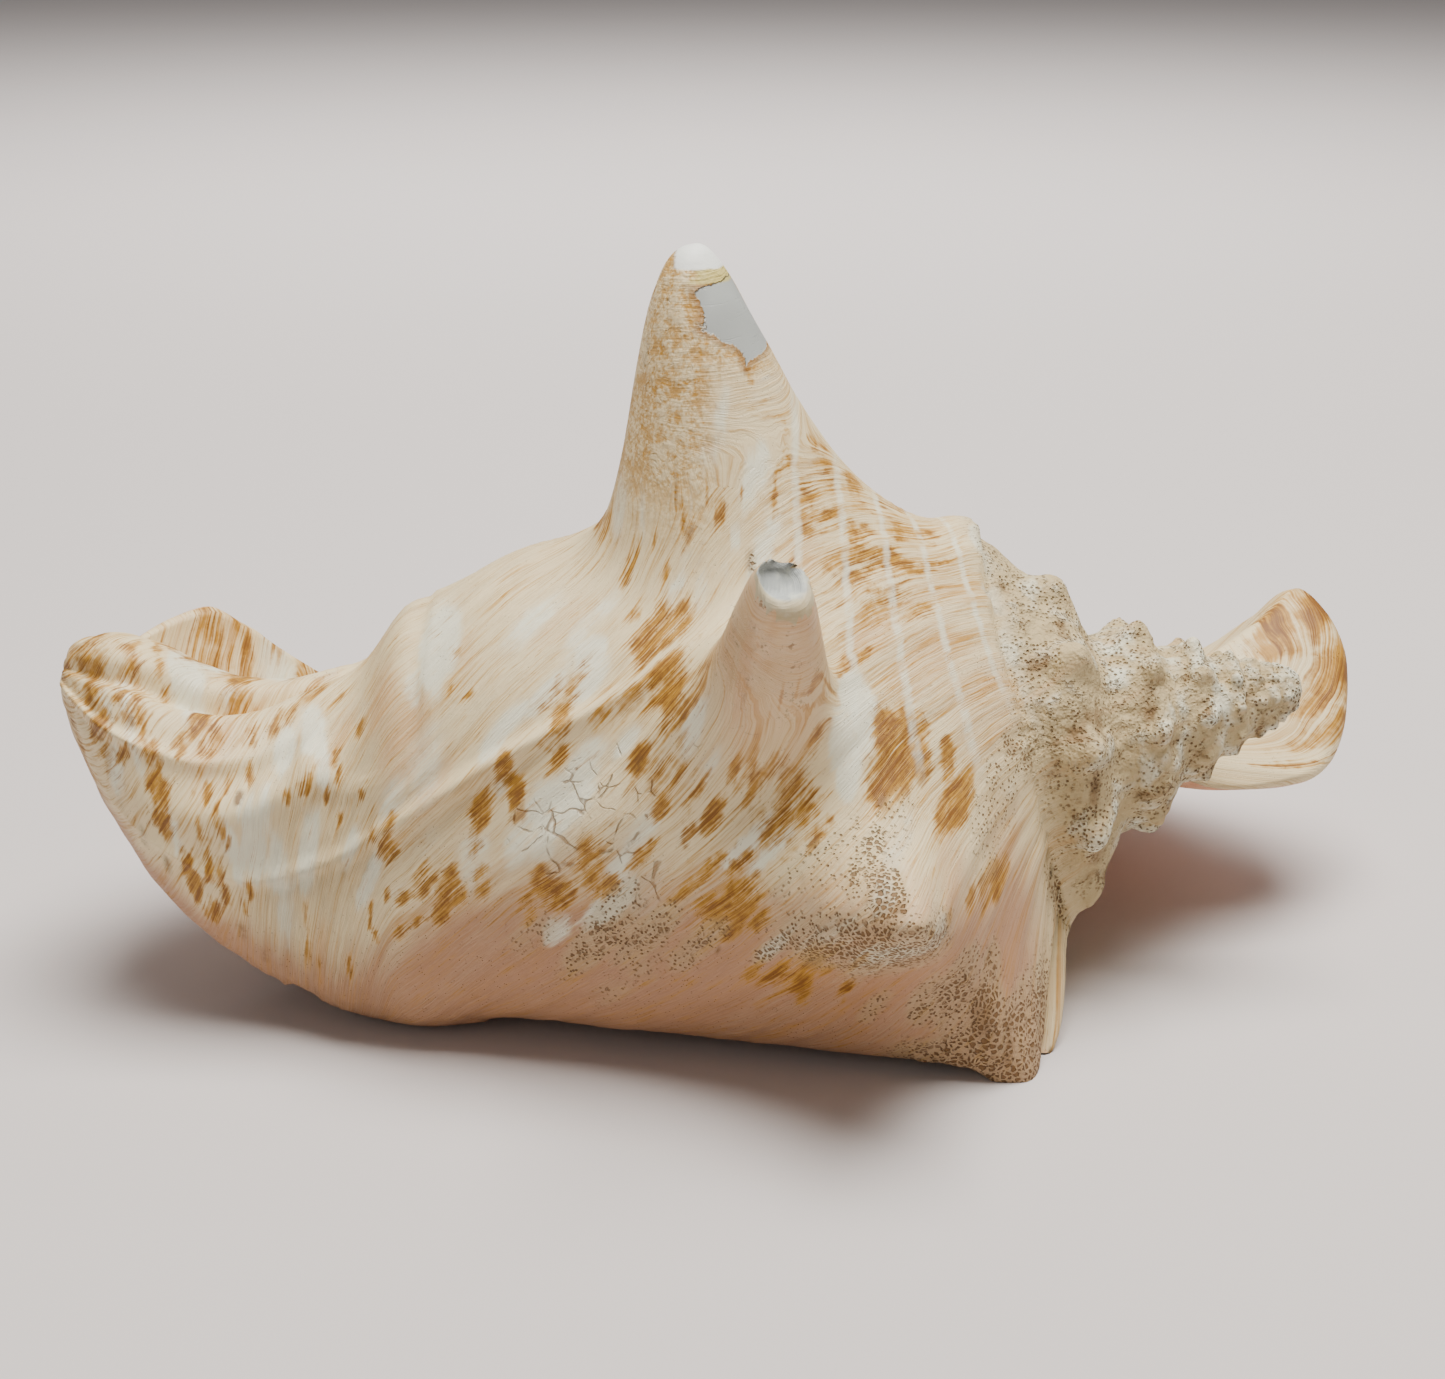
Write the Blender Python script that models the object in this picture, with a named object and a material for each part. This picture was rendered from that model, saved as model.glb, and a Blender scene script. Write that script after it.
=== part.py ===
# Conch shell, lying on its opening, with the spire towards +X and the flared lip on the far side (+Y).
# The whole shell is one closed skin: a row of cross-sections from the tip of the spire to the tip of the
# canal, each one a C-shaped curve that runs from the lip over the back, round the belly, into the opening
# and back along the inside of the lip.
import math

import bpy
import numpy as np

# Sizes below are in millimetres, angles in degrees round the axis: 0 on top, 90 far side, -90 near side.
MM = 0.001
APEX_X = 105.5
CANAL_X = -118.0

# Middle of the plan, which comes to the origin
PLAN_MIDDLE = (3.8, 8.75)

# Sections in each stretch of the axis, and points in each part of a section
STATIONS_SPIRE = 20
STATIONS_WING = 17
STATIONS_BODY = 33
STATIONS_CANAL = 12
COUNT_LIP = 7
COUNT_RING = 34
COUNT_CORE = 7
COUNT_WALL = 6

# Where the stations change pace along the axis
APEX_SHARE = 0.03
WING_BACK_X = 84.0
WING_FRONT_X = 62.0
BODY_FRONT_X = -74.0

# Angles that bound the parts of a section
BELLY_ANGLE = -185.0
CORE_ANGLE = -375.0
WALL_ANGLE = -15.0

# Closer stations and angles round the spines: middle, reach, extra weight
SAMPLES = 2000
RING_START = 80.0
WEIGHT_BACK = 1.15
WEIGHT_FRONT = 0.90
STATION_PEAKS = [(6, 10, 0.9), (30, 12, 0.4)]
ANGLE_PEAKS = [(-3, 9, 1.4), (-60, 9, 2.6), (-100, 9, 1.6), (-134, 9, 1.3)]

# Middle of the whorls: x, y, z above the floor
CENTRE = [(-118, -4, 58), (-113, -6, 54), (-106, -8, 47.5), (-96, -9, 39.5), (-87, -8, 34), (-78, -7, 31.5),
          (-68, -6, 32), (-54, -6, 36.5), (-33, -5, 41), (0, -4, 42), (30, -2, 41), (50, -1, 41.5),
          (70, 0, 44.5), (88, 0, 49.5), (105.5, 0, 54)]

# Radius of the body whorl: x, radius
BODY_RADIUS = [(-118, 1.5), (-116.5, 6.5), (-112, 12), (-106, 17), (-100, 20.5), (-92, 22.5), (-84, 24.5),
               (-74, 26.5), (-64, 28), (-54, 33), (-44, 36.5), (-33, 40), (-15, 44.5), (5, 48), (25, 50),
               (45, 50), (60, 48)]

# Extra fullness of the near lower corner: x, height
BELLY_FULL = [(-118, 0), (-95, 2), (-78, 4), (-60, 9.5), (-44, 8.5), (-20, 7), (35, 6), (60, 3)]
BELLY_FULL_ANGLE = -140.0
BELLY_FULL_WIDTH = 30.0

# How much flatter the underside is than a round whorl: x, depth
UNDER_FLAT = [(-118, 0), (-78, 0), (-50, 2), (-25, 6), (5, 9.5), (30, 11.5), (60, 11)]
UNDER_ANGLE = -190.0
UNDER_WIDTH = 36.0

# Extra fullness of the far side
FAR_FULLNESS = 4.0
FAR_FULL_X = (-80, -30)

# Suture and shoulder of the growing shell, as distance from the apex: angle, suture, shoulder
GROWTH = [(-140, 46.5, 55), (-105, 49.5, 69), (-60, 54, 92), (-17, 59, 102), (20, 60, 107), (60, 56, 111),
          (110, 50, 115)]
LAST_TURN = (-175, -140)
FIRST_GROWN_ANGLE = -200
RAMP_START = 1.75
SUTURE_PINCH = 0.98
WHORLS = 12
WHORL_RATIO = 1.48
WHORL_ANGLE = -430.0
WHORL_SUTURE = 35.7
WHORL_SHOULDER = 0.38
SPIRE_SLOPE = 0.555
STEP_DEPTH = 0.055
KNOB_HEIGHT = 0.12
KNOBS_PER_TURN = 10
KNOB_PHASE = 0.0
KNOB_REACH = 0.22
KNOB_POWER = 1.3
BLUNT_RADIUS = 2.9
BLUNT_START = 1.2
BLUNT_FADE = 10.0
APEX_OUT = (0.8, 0.0, 0.2)
CANAL_OUT = (-0.4, 0.0, 0.0)

# Callus pad under the spire
CALLUS_HEIGHT = 7.0
CALLUS_ANGLE = -202.0
CALLUS_WIDTH = 26.0
CALLUS_BACK = (84.5, 81.5)
CALLUS_FRONT = (40, 62)

# Bulges over the seam: behind the crown spine, and low on the whorl above the last one
# x, angle, reach along x, reach round, height
BULGES = [(46.0, 14.0, 8.5, 28.0, 10.5), (62.5, -152.0, 6.5, 22.0, 7.0)]

# Outer edge of the lip: x of the station, then the x, y, z of the edge
LIP_EDGE = [(84.0, 84, 8, 38.5), (82.3, 89, 10, 31.5), (80.6, 97, 11, 29.5), (79, 105, 13, 29.5),
            (77.4, 113, 16, 30), (75.8, 120, 23, 32), (74.2, 124.5, 32, 38.5), (72.4, 126, 41, 46.5),
            (70.4, 123, 49, 54), (68.0, 117.5, 55, 57.5), (65.5, 111, 61, 50), (62, 104, 68, 41),
            (56, 92, 77, 30), (48, 76, 84, 20), (38, 56, 90, 11), (26, 34, 93.5, 5.5), (12, 13, 94, 3.4),
            (-8, -10, 90, 3.2), (-22, -25, 82, 3.6), (-38, -41, 70, 5.5), (-52, -55, 57, 13),
            (-64, -67, 45, 30), (-74, -76, 37, 42), (-83, -84, 32, 50), (-91, -91.5, 28, 57.5),
            (-98, -98, 24.5, 62), (-104, -104, 19, 61), (-110, -110, 11, 59), (-115, -114.5, 4, 58),
            (-118, -117.5, -1, 57.5)]

# Direction in which the lip runs out at its edge: x of the station, then x, y, z
LIP_FLARE = [(84, 0.6, 0.3, -0.7), (79, 0.8, 0.6, 0.0), (74, 0.7, 0.6, 0.4), (68, 0.5, 0.7, 0.5),
             (56, 0.3, 0.95, 0.1), (26, 0.1, 1.0, 0.02), (-22, -0.05, 1.0, 0.02), (-52, -0.1, 0.95, 0.3),
             (-74, -0.1, 0.5, 0.86), (-98, 0.0, 0.25, 0.97), (-118, -0.3, 0.1, 0.9)]

# Thickness of the wall and of the lip: x of the station, thickness
THICKNESS = [(-118, 0.5), (-112, 2.6), (-98, 4.0), (-60, 4.6), (0, 5.0), (50, 4.8), (66, 4.0), (78, 4.4),
             (81, 3.6), (84, 0.3)]

# Column inside the shell: x, radius
COLUMN_RADIUS = [(-118, 0.8), (-106, 4), (-90, 6), (-60, 9), (-20, 14), (20, 17), (50, 15), (66, 12), (84, 8)]
COLUMN_WRAP = 40.0

# Where the lip and the opening begin behind the spire: x of the station, share
LIP_SHARE = [(-118.0, 0.0), (-113.5, 1.0), (79.5, 1.0), (84.0, 0.0)]
OPEN_SHARE = [(-117.0, 0.0), (-109.0, 1.0), (36.0, 1.0), (74.0, 0.0)]

# Angle at which the lip leaves the whorl: x of the station, angle
LIP_ROOT = [(68.0, 75.0), (74.0, 88.0), (79.0, 112.0), (84.0, 138.0)]
ROOT_LIFT = 0.95
ROOT_PULL = 0.30
EDGE_PULL = 0.38

# Stretch where the lip grows straight out of the whorl, and how straight its edge runs there
STRAIGHT_X = (64, 79)
STRAIGHT_FLARE = 0.8

# Shares of the underside that the lip, its inner face and the column take where the shell is shut
CLOSED_LIP = 0.22
CLOSED_INNER = 0.45
CLOSED_CORE = 0.30
CLOSING_SHARE = 0.62
NORMAL_ROUNDS = 3

# Spines: x and angle of the base, reach to the canal and to the spire, reach upwards and downwards in degrees,
# tip x, y, z, sharpness to the canal and to the spire, and how far the end turns upwards
SPINES = [("crown", -0.5, -3.0, 14.4, 17.0, 21.0, 21.0, (-4.5, -6.0, 135.6), 2.9, 1.7, 0.0),
          ("near root", 2.0, -64.0, 11.0, 14.0, 16.0, 9.0, (5.5, -57.0, 75.5), 2.2, 1.7, 0.0),
          ("near", 6.0, -60.0, 8.6, 8.0, 10.5, 8.5, (9.6, -67.5, 94.6), 3.6, 3.6, 0.6),
          ("side", 28.0, -100.0, 21.0, 10.0, 15.0, 9.5, (37.5, -77.0, 41.5), 1.35, 1.8, 0.0),
          ("corner", 45.5, -134.0, 17.0, 9.0, 13.0, 11.0, (51.5, -46.5, -2.5), 1.4, 1.9, 0.0),
          ("corner callus", 54.0, -156.0, 8.0, 7.0, 10.0, 10.0, (57.8, -36.0, -1.5), 2.2, 2.2, 0.0)]

TILT_RADIUS = 48.0
TILT_REACH = 9.0

# Rounded lumps and growth steps on the body: x, angle, reach along x, reach round, height, slant
LUMPS = [(-57, -5, 5, 45, 3.4, 0.0), (-43, -70, 4.5, 24, 2.6, 1.7), (-78, -62, 7, 16, 3.6, 0.6),
         (-66, -118, 10, 22, 2.6, 0.5), (-24, -85, 9, 14, 2.0, 1.2), (-86, -12, 6, 26, -5.0, 0.9),
         (-104, -14, 9, 38, 3.2, 0.0), (5, -112, 12, 9, 2.0, 0.8), (-101, -60, 5, 25, 1.5, 1.2),
         (36, 16, 13, 26, 7.5, 0.0), (36, -6, 11, 20, 2.0, 0.0), (24, 62, 12, 18, 5.0, 0.0),
         (49, -20, 4, 5, 3.0, 0.0), (52, -45, 3.5, 6, 2.4, 0.0),
         (54, -78, 3.5, 6, 2.6, 0.0)]

# Worn flats that carry the shell: x, y and reach
FLAT_SPOTS = [(-56, -24, 17), (52, -43, 8.5), (2, 88, 34)]
FLOOR_GAP = 1.8
FLOOR_SOFTNESS = 2.6
FLAT_PRESS = 1.3
FLAT_SINK = 2.0
FLAT_SOFTNESS = 0.5
SETTLE_HEIGHTS = (6, 14)


def through(points, at):
    """Monotone smooth line through outline points, read at many places."""
    table = np.array(points, float)
    table = table[np.argsort(table[:, 0])]
    knots = table[:, 0]
    values = table[:, 1:]
    step = np.diff(knots)[:, None]
    rate = np.diff(values, axis=0) / step
    product = rate[:-1] * rate[1:]
    total = rate[:-1] + rate[1:]
    safe = np.where(product > 0, total, 1.0)
    slope = np.zeros_like(values)
    slope[1:-1] = np.where(product > 0, 2 * product / safe, 0.0)
    slope[0] = rate[0]
    slope[-1] = rate[-1]
    place = np.clip(np.asarray(at, float), knots[0], knots[-1])
    index = np.clip(np.searchsorted(knots, place, side="right") - 1, 0, len(knots) - 2)
    width = (knots[index + 1] - knots[index])[..., None]
    t = (place - knots[index])[..., None] / width
    left = values[index] * (1 + 2 * t) * (1 - t) ** 2 + slope[index] * width * t * (1 - t) ** 2
    right = values[index + 1] * t * t * (3 - 2 * t) + slope[index + 1] * width * t * t * (t - 1)
    result = left + right
    return result[..., 0] if result.shape[-1] == 1 else result


def ease(low, high, value):
    """Smooth step from 0 at low to 1 at high."""
    t = np.clip((value - low) / (high - low), 0, 1)
    return t * t * (3 - 2 * t)


def unit(vector):
    """Vector of length one."""
    return vector / np.maximum(np.linalg.norm(vector, axis=-1, keepdims=True), 1e-9)


def spread(places, weight, count, endpoint):
    """Places picked so that they lie closer together where the weight is high."""
    run = np.concatenate([[0], np.cumsum((weight[1:] + weight[:-1]) / 2)])
    return np.interp(np.linspace(0, run[-1], count, endpoint=endpoint), run, places)


def station_places():
    """Axis places of all sections, from the apex to the canal tip, closer together at the near spines."""
    spire = APEX_X - (APEX_X - WING_BACK_X) * np.linspace(APEX_SHARE, 1, STATIONS_SPIRE, endpoint=False)
    wing = np.linspace(WING_BACK_X, WING_FRONT_X, STATIONS_WING, endpoint=False)
    places = np.linspace(WING_FRONT_X, BODY_FRONT_X, SAMPLES)
    weight = np.linspace(WEIGHT_BACK, WEIGHT_FRONT, SAMPLES)
    for middle, reach, extra in STATION_PEAKS:
        weight += extra * np.exp(-((places - middle) / reach) ** 2)
    body = spread(places, weight, STATIONS_BODY, False)
    run_out = np.sin(np.linspace(0, 1, STATIONS_CANAL) * math.pi / 2)
    canal = BODY_FRONT_X + (CANAL_X - BODY_FRONT_X) * run_out
    return np.concatenate([spire, wing, body, canal])


def ring_angles(attach):
    """Angles of the outer ring, closer together at the spines."""
    share = np.linspace(0, 1, SAMPLES)
    angles = RING_START + (BELLY_ANGLE - RING_START) * share
    weight = np.ones_like(share)
    for middle, reach, extra in ANGLE_PEAKS:
        weight += extra * np.exp(-((angles - middle) / reach) ** 2)
    picks = spread(share, weight, COUNT_RING, True)
    return attach[:, None] + (BELLY_ANGLE - attach[:, None]) * picks[None, :]


def sutures(angle):
    """Distance from the apex of the suture and the shoulder of the whorl grown at this angle."""
    early = WHORL_SUTURE * WHORL_RATIO ** ((angle - WHORL_ANGLE) / 360)
    late = through(GROWTH, angle)
    share = ease(*LAST_TURN, angle)
    suture = early * (1 - share) + late[..., 0] * share
    shoulder = early * WHORL_RATIO ** WHORL_SHOULDER * (1 - share) + late[..., 1] * share
    return suture, shoulder


def whorl_place(distance, angle):
    """Place inside its own whorl (0 at the upper suture, 1 at the lower) and the whorl's own angle."""
    place = np.zeros_like(distance)
    own = np.array(angle, float)
    found = np.zeros(distance.shape, bool)
    for turn in range(WHORLS):
        upper = sutures(angle - 360 * turn)[0]
        lower = sutures(angle - 360 * (turn - 1))[0] if turn else upper * 2
        inside = (distance >= upper) & ~found
        place = np.where(inside, np.log(distance / upper) / np.log(lower / upper), place)
        own = np.where(inside, angle - 360 * turn, own)
        found |= inside
    return np.clip(place, 0, 1), own


def spire_radius(distance, angle):
    """Cone of the spire, blunt at the apex, with a rounded step and a row of knobs on each whorl."""
    place, own = whorl_place(distance, angle)
    blunt = BLUNT_RADIUS * (1 - np.exp(-distance / BLUNT_START)) * np.exp(-distance / BLUNT_FADE)
    up = np.sin(math.pi / 2 * np.clip(place / WHORL_SHOULDER, 0, 1)) ** 2
    down = np.cos(math.pi / 2 * np.clip((place - WHORL_SHOULDER) / (1 - WHORL_SHOULDER), 0, 1)) ** 2
    rise = np.where(place < WHORL_SHOULDER, up, down)
    step = STEP_DEPTH * (2 * rise - 1)
    turn = np.cos(np.radians((own - KNOB_PHASE) * KNOBS_PER_TURN))
    ridge = np.exp(-((place - WHORL_SHOULDER) / KNOB_REACH) ** 2)
    knob = KNOB_HEIGHT * np.clip(turn, 0, 1) ** KNOB_POWER * ridge
    return distance * (SPIRE_SLOPE + step + knob) + blunt


def body_radius(x, angle):
    """Radius of the body whorl without its spines."""
    radius = through(BODY_RADIUS, x)
    full = through(BELLY_FULL, x)
    radius = radius + full * np.exp(-((angle - BELLY_FULL_ANGLE) / BELLY_FULL_WIDTH) ** 2)
    under = through(UNDER_FLAT, x)
    radius = radius - under * np.exp(-((angle - UNDER_ANGLE) / UNDER_WIDTH) ** 2)
    radius = radius + FAR_FULLNESS * ease(0, 90, angle) * ease(*FAR_FULL_X, x)
    for place, at, reach, turn, height, slant in LUMPS:
        along = (x - place - slant * (angle - at)) / reach
        radius = radius + height * np.exp(-along ** 2 - ((angle - at) / turn) ** 2)
    return radius


def ring_radius(x, angle):
    """Radius of the outer skin at one place along the axis and one angle."""
    x, angle = np.broadcast_arrays(x, angle)
    distance = np.maximum(APEX_X - x, 0.2)
    suture, shoulder = sutures(angle)
    spire = spire_radius(distance, angle)
    body = body_radius(x, angle)
    t = np.clip((distance - suture) / np.maximum(shoulder - suture, 1), 0, 1)
    ramp = np.where(distance < suture, 0, t * (RAMP_START - (RAMP_START - 1) * t))
    grown = angle > FIRST_GROWN_ANGLE
    outer = suture * SPIRE_SLOPE * SUTURE_PINCH * (1 - ramp) + body * ramp
    radius = np.where((distance < suture) | ~grown, spire, outer)
    late = body_radius(x, np.maximum(angle, BELLY_ANGLE))
    radius = np.where(~grown, np.minimum(spire, late), radius)
    pad = CALLUS_HEIGHT * np.exp(-((angle - CALLUS_ANGLE) / CALLUS_WIDTH) ** 2)
    radius = radius + pad * ease(*CALLUS_BACK, x) * ease(*CALLUS_FRONT, x)
    for place, at, reach, turn, height in BULGES:
        radius = radius + height * np.exp(-((x - place) / reach) ** 2 - ((angle - at) / turn) ** 2)
    return radius


def round_point(x, angle, radius):
    """Point at a given radius round the middle of the whorls."""
    centre = through(CENTRE, x + 0 * angle)
    turn = np.radians(angle)
    point = np.empty(radius.shape + (3,))
    point[..., 0] = x
    point[..., 1] = centre[..., 0] + radius * np.sin(turn)
    point[..., 2] = centre[..., 1] + radius * np.cos(turn)
    return point


def ring_point(x, angle):
    """Point of the outer skin without its spines."""
    return round_point(x, angle, ring_radius(x, angle))


def spine_share(x, angle, spine):
    """Share from 0 to 1 with which a point follows a spine."""
    along = (x - spine[1]) / np.where(x > spine[1], spine[4], spine[3])
    around = (angle - spine[2]) / np.where(angle > spine[2], spine[5], spine[6])
    away = np.sqrt(along ** 2 + around ** 2)
    lean = 0.5 * (1 + along / np.maximum(away, 1e-6))
    sharp = spine[8] * (1 - lean) + spine[9] * lean
    return np.exp(-away ** sharp)


def spine_lift(x, angle, point):
    """Move skin points out into the spines. The near spine stands on its root, and its end turns upwards."""
    moved = point.copy()
    carried = np.zeros(3)
    for spine in SPINES:
        base = ring_point(np.array([[spine[1]]]), np.array([[spine[2]]]))[0, 0]
        share = spine_share(x, angle, spine)[..., None]
        if spine[0] == "near":
            base = base + spine_share(spine[1], spine[2], SPINES[1]) * carried
        carried = np.array(spine[7]) - base
        moved += share * carried
        turn = np.radians(spine[2])
        out = np.array([0, np.sin(turn), np.cos(turn)])
        rise = np.clip(np.radians(angle - spine[2]) * TILT_RADIUS, -TILT_REACH, TILT_REACH)
        moved -= spine[10] * share * rise[..., None] * out
    return moved


def even(vectors, times):
    """Vectors evened out over the neighbouring sections."""
    result = vectors
    for _ in range(times):
        padded = np.concatenate([result[:1], result, result[-1:]])
        result = unit(padded[:-2] + 2 * padded[1:-1] + padded[2:])
    return result


def lip_curve(root, root_way, edge, flare, share):
    """Curve of the lip from its root on the whorl out to its edge."""
    span = np.linalg.norm(edge - root, axis=-1, keepdims=True)
    first = (root + root_way * span * ROOT_PULL)[:, None]
    second = (edge - flare * span * EDGE_PULL)[:, None]
    t = share[None, :, None]
    start = root[:, None] * (1 - t) ** 3 + 3 * first * t * (1 - t) ** 2
    return start + 3 * second * t * t * (1 - t) + edge[:, None] * t ** 3


class Sections:
    """What all parts of the sections share: their places, angles, shares and wall thickness."""

    def __init__(self):
        self.x = station_places()
        self.column = self.x[:, None]
        self.lip = ease(0, 1, through(LIP_SHARE, self.x))[:, None, None]
        self.opened = ease(0, 1, through(OPEN_SHARE, self.x))[:, None, None]
        self.attach = through(LIP_ROOT, self.x)[:, None]
        self.rest = BELLY_ANGLE + 360 - self.attach
        self.angles = ring_angles(self.attach[:, 0])
        self.thick = through(THICKNESS, self.x)[:, None, None]
        self.steps = np.linspace(1, 0, COUNT_LIP, endpoint=False)


def lip_outside(part, ring):
    """Outer face of the lip, from its edge to its root, and closed skin where there is no lip."""
    root = ring[:, 0]
    straight = ease(*STRAIGHT_X, part.x)[:, None]
    edge = through(LIP_EDGE, part.x)
    outward = unit(edge - root)
    turn = np.radians(part.attach[:, 0])
    away = np.stack([0 * turn, np.sin(turn), np.cos(turn)], -1)
    along = unit(ring[:, 0] - ring[:, 1])
    root_way = unit(along * (1 - straight) + (outward + ROOT_LIFT * away) * straight)
    bent = STRAIGHT_FLARE * straight
    flare = unit(through(LIP_FLARE, part.x) * (1 - bent) + outward * bent)
    lip = lip_curve(root, root_way, edge, flare, part.steps)
    closed = ring_point(part.column, part.attach + CLOSED_LIP * part.rest * part.steps[None, :])
    return lip * part.lip + closed * (1 - part.lip)


def lip_inside(part, outer, plain_ring):
    """Inner face of the lip, from its root to its edge: the outer face set in by the thickness."""
    whole = np.concatenate([outer, plain_ring], axis=1)
    normal = even(unit(np.cross(np.gradient(whole, axis=0), np.gradient(whole, axis=1))), NORMAL_ROUNDS)
    inner = outer - normal[:, :outer.shape[1]] * part.thick
    wall = ring_radius(part.column, part.attach) - part.thick[:, :, 0]
    deep_root = round_point(part.column, part.attach, wall)
    shut_root = ring_point(part.column, part.attach + CLOSED_INNER * part.rest - 360)
    target = shut_root * (1 - part.opened) + deep_root * part.opened
    hold = ((1 - part.steps) ** 1.5)[None, :, None]
    inner = inner + hold * (target - inner[:, -1:])
    spread_angle = CLOSED_LIP + (CLOSED_INNER - CLOSED_LIP) * (1 - part.steps)[None, :]
    closed = ring_point(part.column, part.attach - 360 + part.rest * spread_angle)
    return (inner * part.lip + closed * (1 - part.lip))[:, ::-1]


def inside_walls(part):
    """The column that the opening winds round, and the inside of the outer wall that meets it deep inside."""
    share = np.linspace(0, 1, COUNT_CORE + 1)[None, 1:]
    core_angle = BELLY_ANGLE + (CORE_ANGLE - BELLY_ANGLE) * share
    slim = through(COLUMN_RADIUS, part.x)[:, None]
    belly = ring_radius(part.column, np.full((1, 1), BELLY_ANGLE))
    core_radius = slim + (belly - slim) * np.exp(-(BELLY_ANGLE - core_angle) / COLUMN_WRAP)
    wall_share = np.linspace(0, 1, COUNT_WALL + 1)[None, 1:-1]
    wall_angle = WALL_ANGLE + (part.attach - WALL_ANGLE) * wall_share
    wall_radius = ring_radius(part.column, wall_angle) - part.thick[:, :, 0]
    far = ring_radius(part.column, np.full((1, 1), WALL_ANGLE)) - part.thick[:, :, 0]
    middle = (slim + far) / 2
    core_end = ease(CLOSING_SHARE, 1.0, share) ** 1.5
    wall_end = ease(CLOSING_SHARE, 0.0, wall_share) ** 1.5
    core = round_point(part.column, core_angle, core_radius * (1 - core_end) + middle * core_end)
    wall = round_point(part.column, wall_angle, wall_radius * (1 - wall_end) + middle * wall_end)
    shut_core = ring_point(part.column, BELLY_ANGLE - CLOSED_CORE * part.rest * share)
    shut_share = CLOSED_CORE + (1 - CLOSED_CORE - CLOSED_INNER) * wall_share
    shut_wall = ring_point(part.column, BELLY_ANGLE - part.rest * shut_share)
    core = core * part.opened + shut_core * (1 - part.opened)
    return core, wall * part.opened + shut_wall * (1 - part.opened)


def skin():
    """All points of the skin: one row per section, one column per place round the C."""
    part = Sections()
    plain_ring = ring_point(part.column, part.angles)
    ring = spine_lift(part.column, part.angles, plain_ring)
    outer = lip_outside(part, ring)
    inner = lip_inside(part, outer, plain_ring)
    core, wall = inside_walls(part)
    return settle(np.concatenate([outer, ring, core, wall, inner], axis=1))


def settle(points):
    """Press the underside flat where the shell lies on the floor, and hold it clear elsewhere."""
    result = points.copy()
    gap = np.full(points.shape[:2], FLOOR_GAP)
    press = np.zeros(points.shape[:2])
    for x, y, reach in FLAT_SPOTS:
        away = np.hypot(points[..., 0] - x, points[..., 1] - y) / reach
        gap -= (FLOOR_GAP + FLAT_SINK) * np.exp(-away ** 4)
        press += FLAT_PRESS * np.exp(-away ** 4)
    above = points[..., 2] - gap
    soft = np.where(gap > 0, FLOOR_SOFTNESS, FLAT_SOFTNESS)
    result[..., 2] = gap + (above + np.sqrt(above ** 2 + soft ** 2)) / 2
    blend = ease(*SETTLE_HEIGHTS, points[..., 2])
    result[..., 2] = result[..., 2] * (1 - blend) + points[..., 2] * blend
    result[..., 2] = np.maximum(result[..., 2] - press * (1 - blend), 0)
    return result


def skin_faces(rows, columns):
    """Triangles of the skin and of its two end caps."""
    row = np.arange(rows - 1)[:, None]
    column = np.arange(columns)[None, :]
    following = (column + 1) % columns
    a = row * columns + column
    b = row * columns + following
    c = (row + 1) * columns + following
    d = (row + 1) * columns + column
    first = np.stack([a, d, c], -1).reshape(-1, 3)
    second = np.stack([a, c, b], -1).reshape(-1, 3)
    ring = np.arange(columns)
    after = (ring + 1) % columns
    apex = rows * columns
    tip = apex + 1
    start = np.stack([np.full(columns, apex), ring, after], -1)
    last = (rows - 1) * columns
    end = np.stack([np.full(columns, tip), last + after, last + ring], -1)
    return np.concatenate([first, second, start, end])


def build_mesh():
    """Vertices in metres and triangles of the closed skin, with the middle of its plan over the origin."""
    points = skin()
    rows, columns = points.shape[:2]
    apex = points[0].mean(axis=0) + np.array(APEX_OUT)
    tip = points[-1].mean(axis=0) + np.array(CANAL_OUT)
    vertices = np.concatenate([points.reshape(-1, 3), [apex], [tip]])
    vertices = vertices - np.array([*PLAN_MIDDLE, 0])
    return vertices * MM, skin_faces(rows, columns)


def shell_material():
    """Chalky cream shell."""
    material = bpy.data.materials.new("shell_body")
    material.use_nodes = True
    shader = material.node_tree.nodes["Principled BSDF"]
    shader.inputs["Base Color"].default_value = (0.78, 0.66, 0.54, 1)
    shader.inputs["Roughness"].default_value = 0.6
    shader.inputs["Metallic"].default_value = 0.0
    return material


def main():
    """Build the shell in an empty scene."""
    for item in list(bpy.data.objects):
        bpy.data.objects.remove(item)
    vertices, faces = build_mesh()
    mesh = bpy.data.meshes.new("shell")
    mesh.from_pydata(vertices.tolist(), [], faces.tolist())
    mesh.materials.append(shell_material())
    mesh.validate()
    shell = bpy.data.objects.new("shell", mesh)
    bpy.context.scene.collection.objects.link(shell)


if __name__ == "__main__":
    main()
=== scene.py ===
# Dressed conch shell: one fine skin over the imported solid, a floor, lights and a camera.
import math

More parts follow.
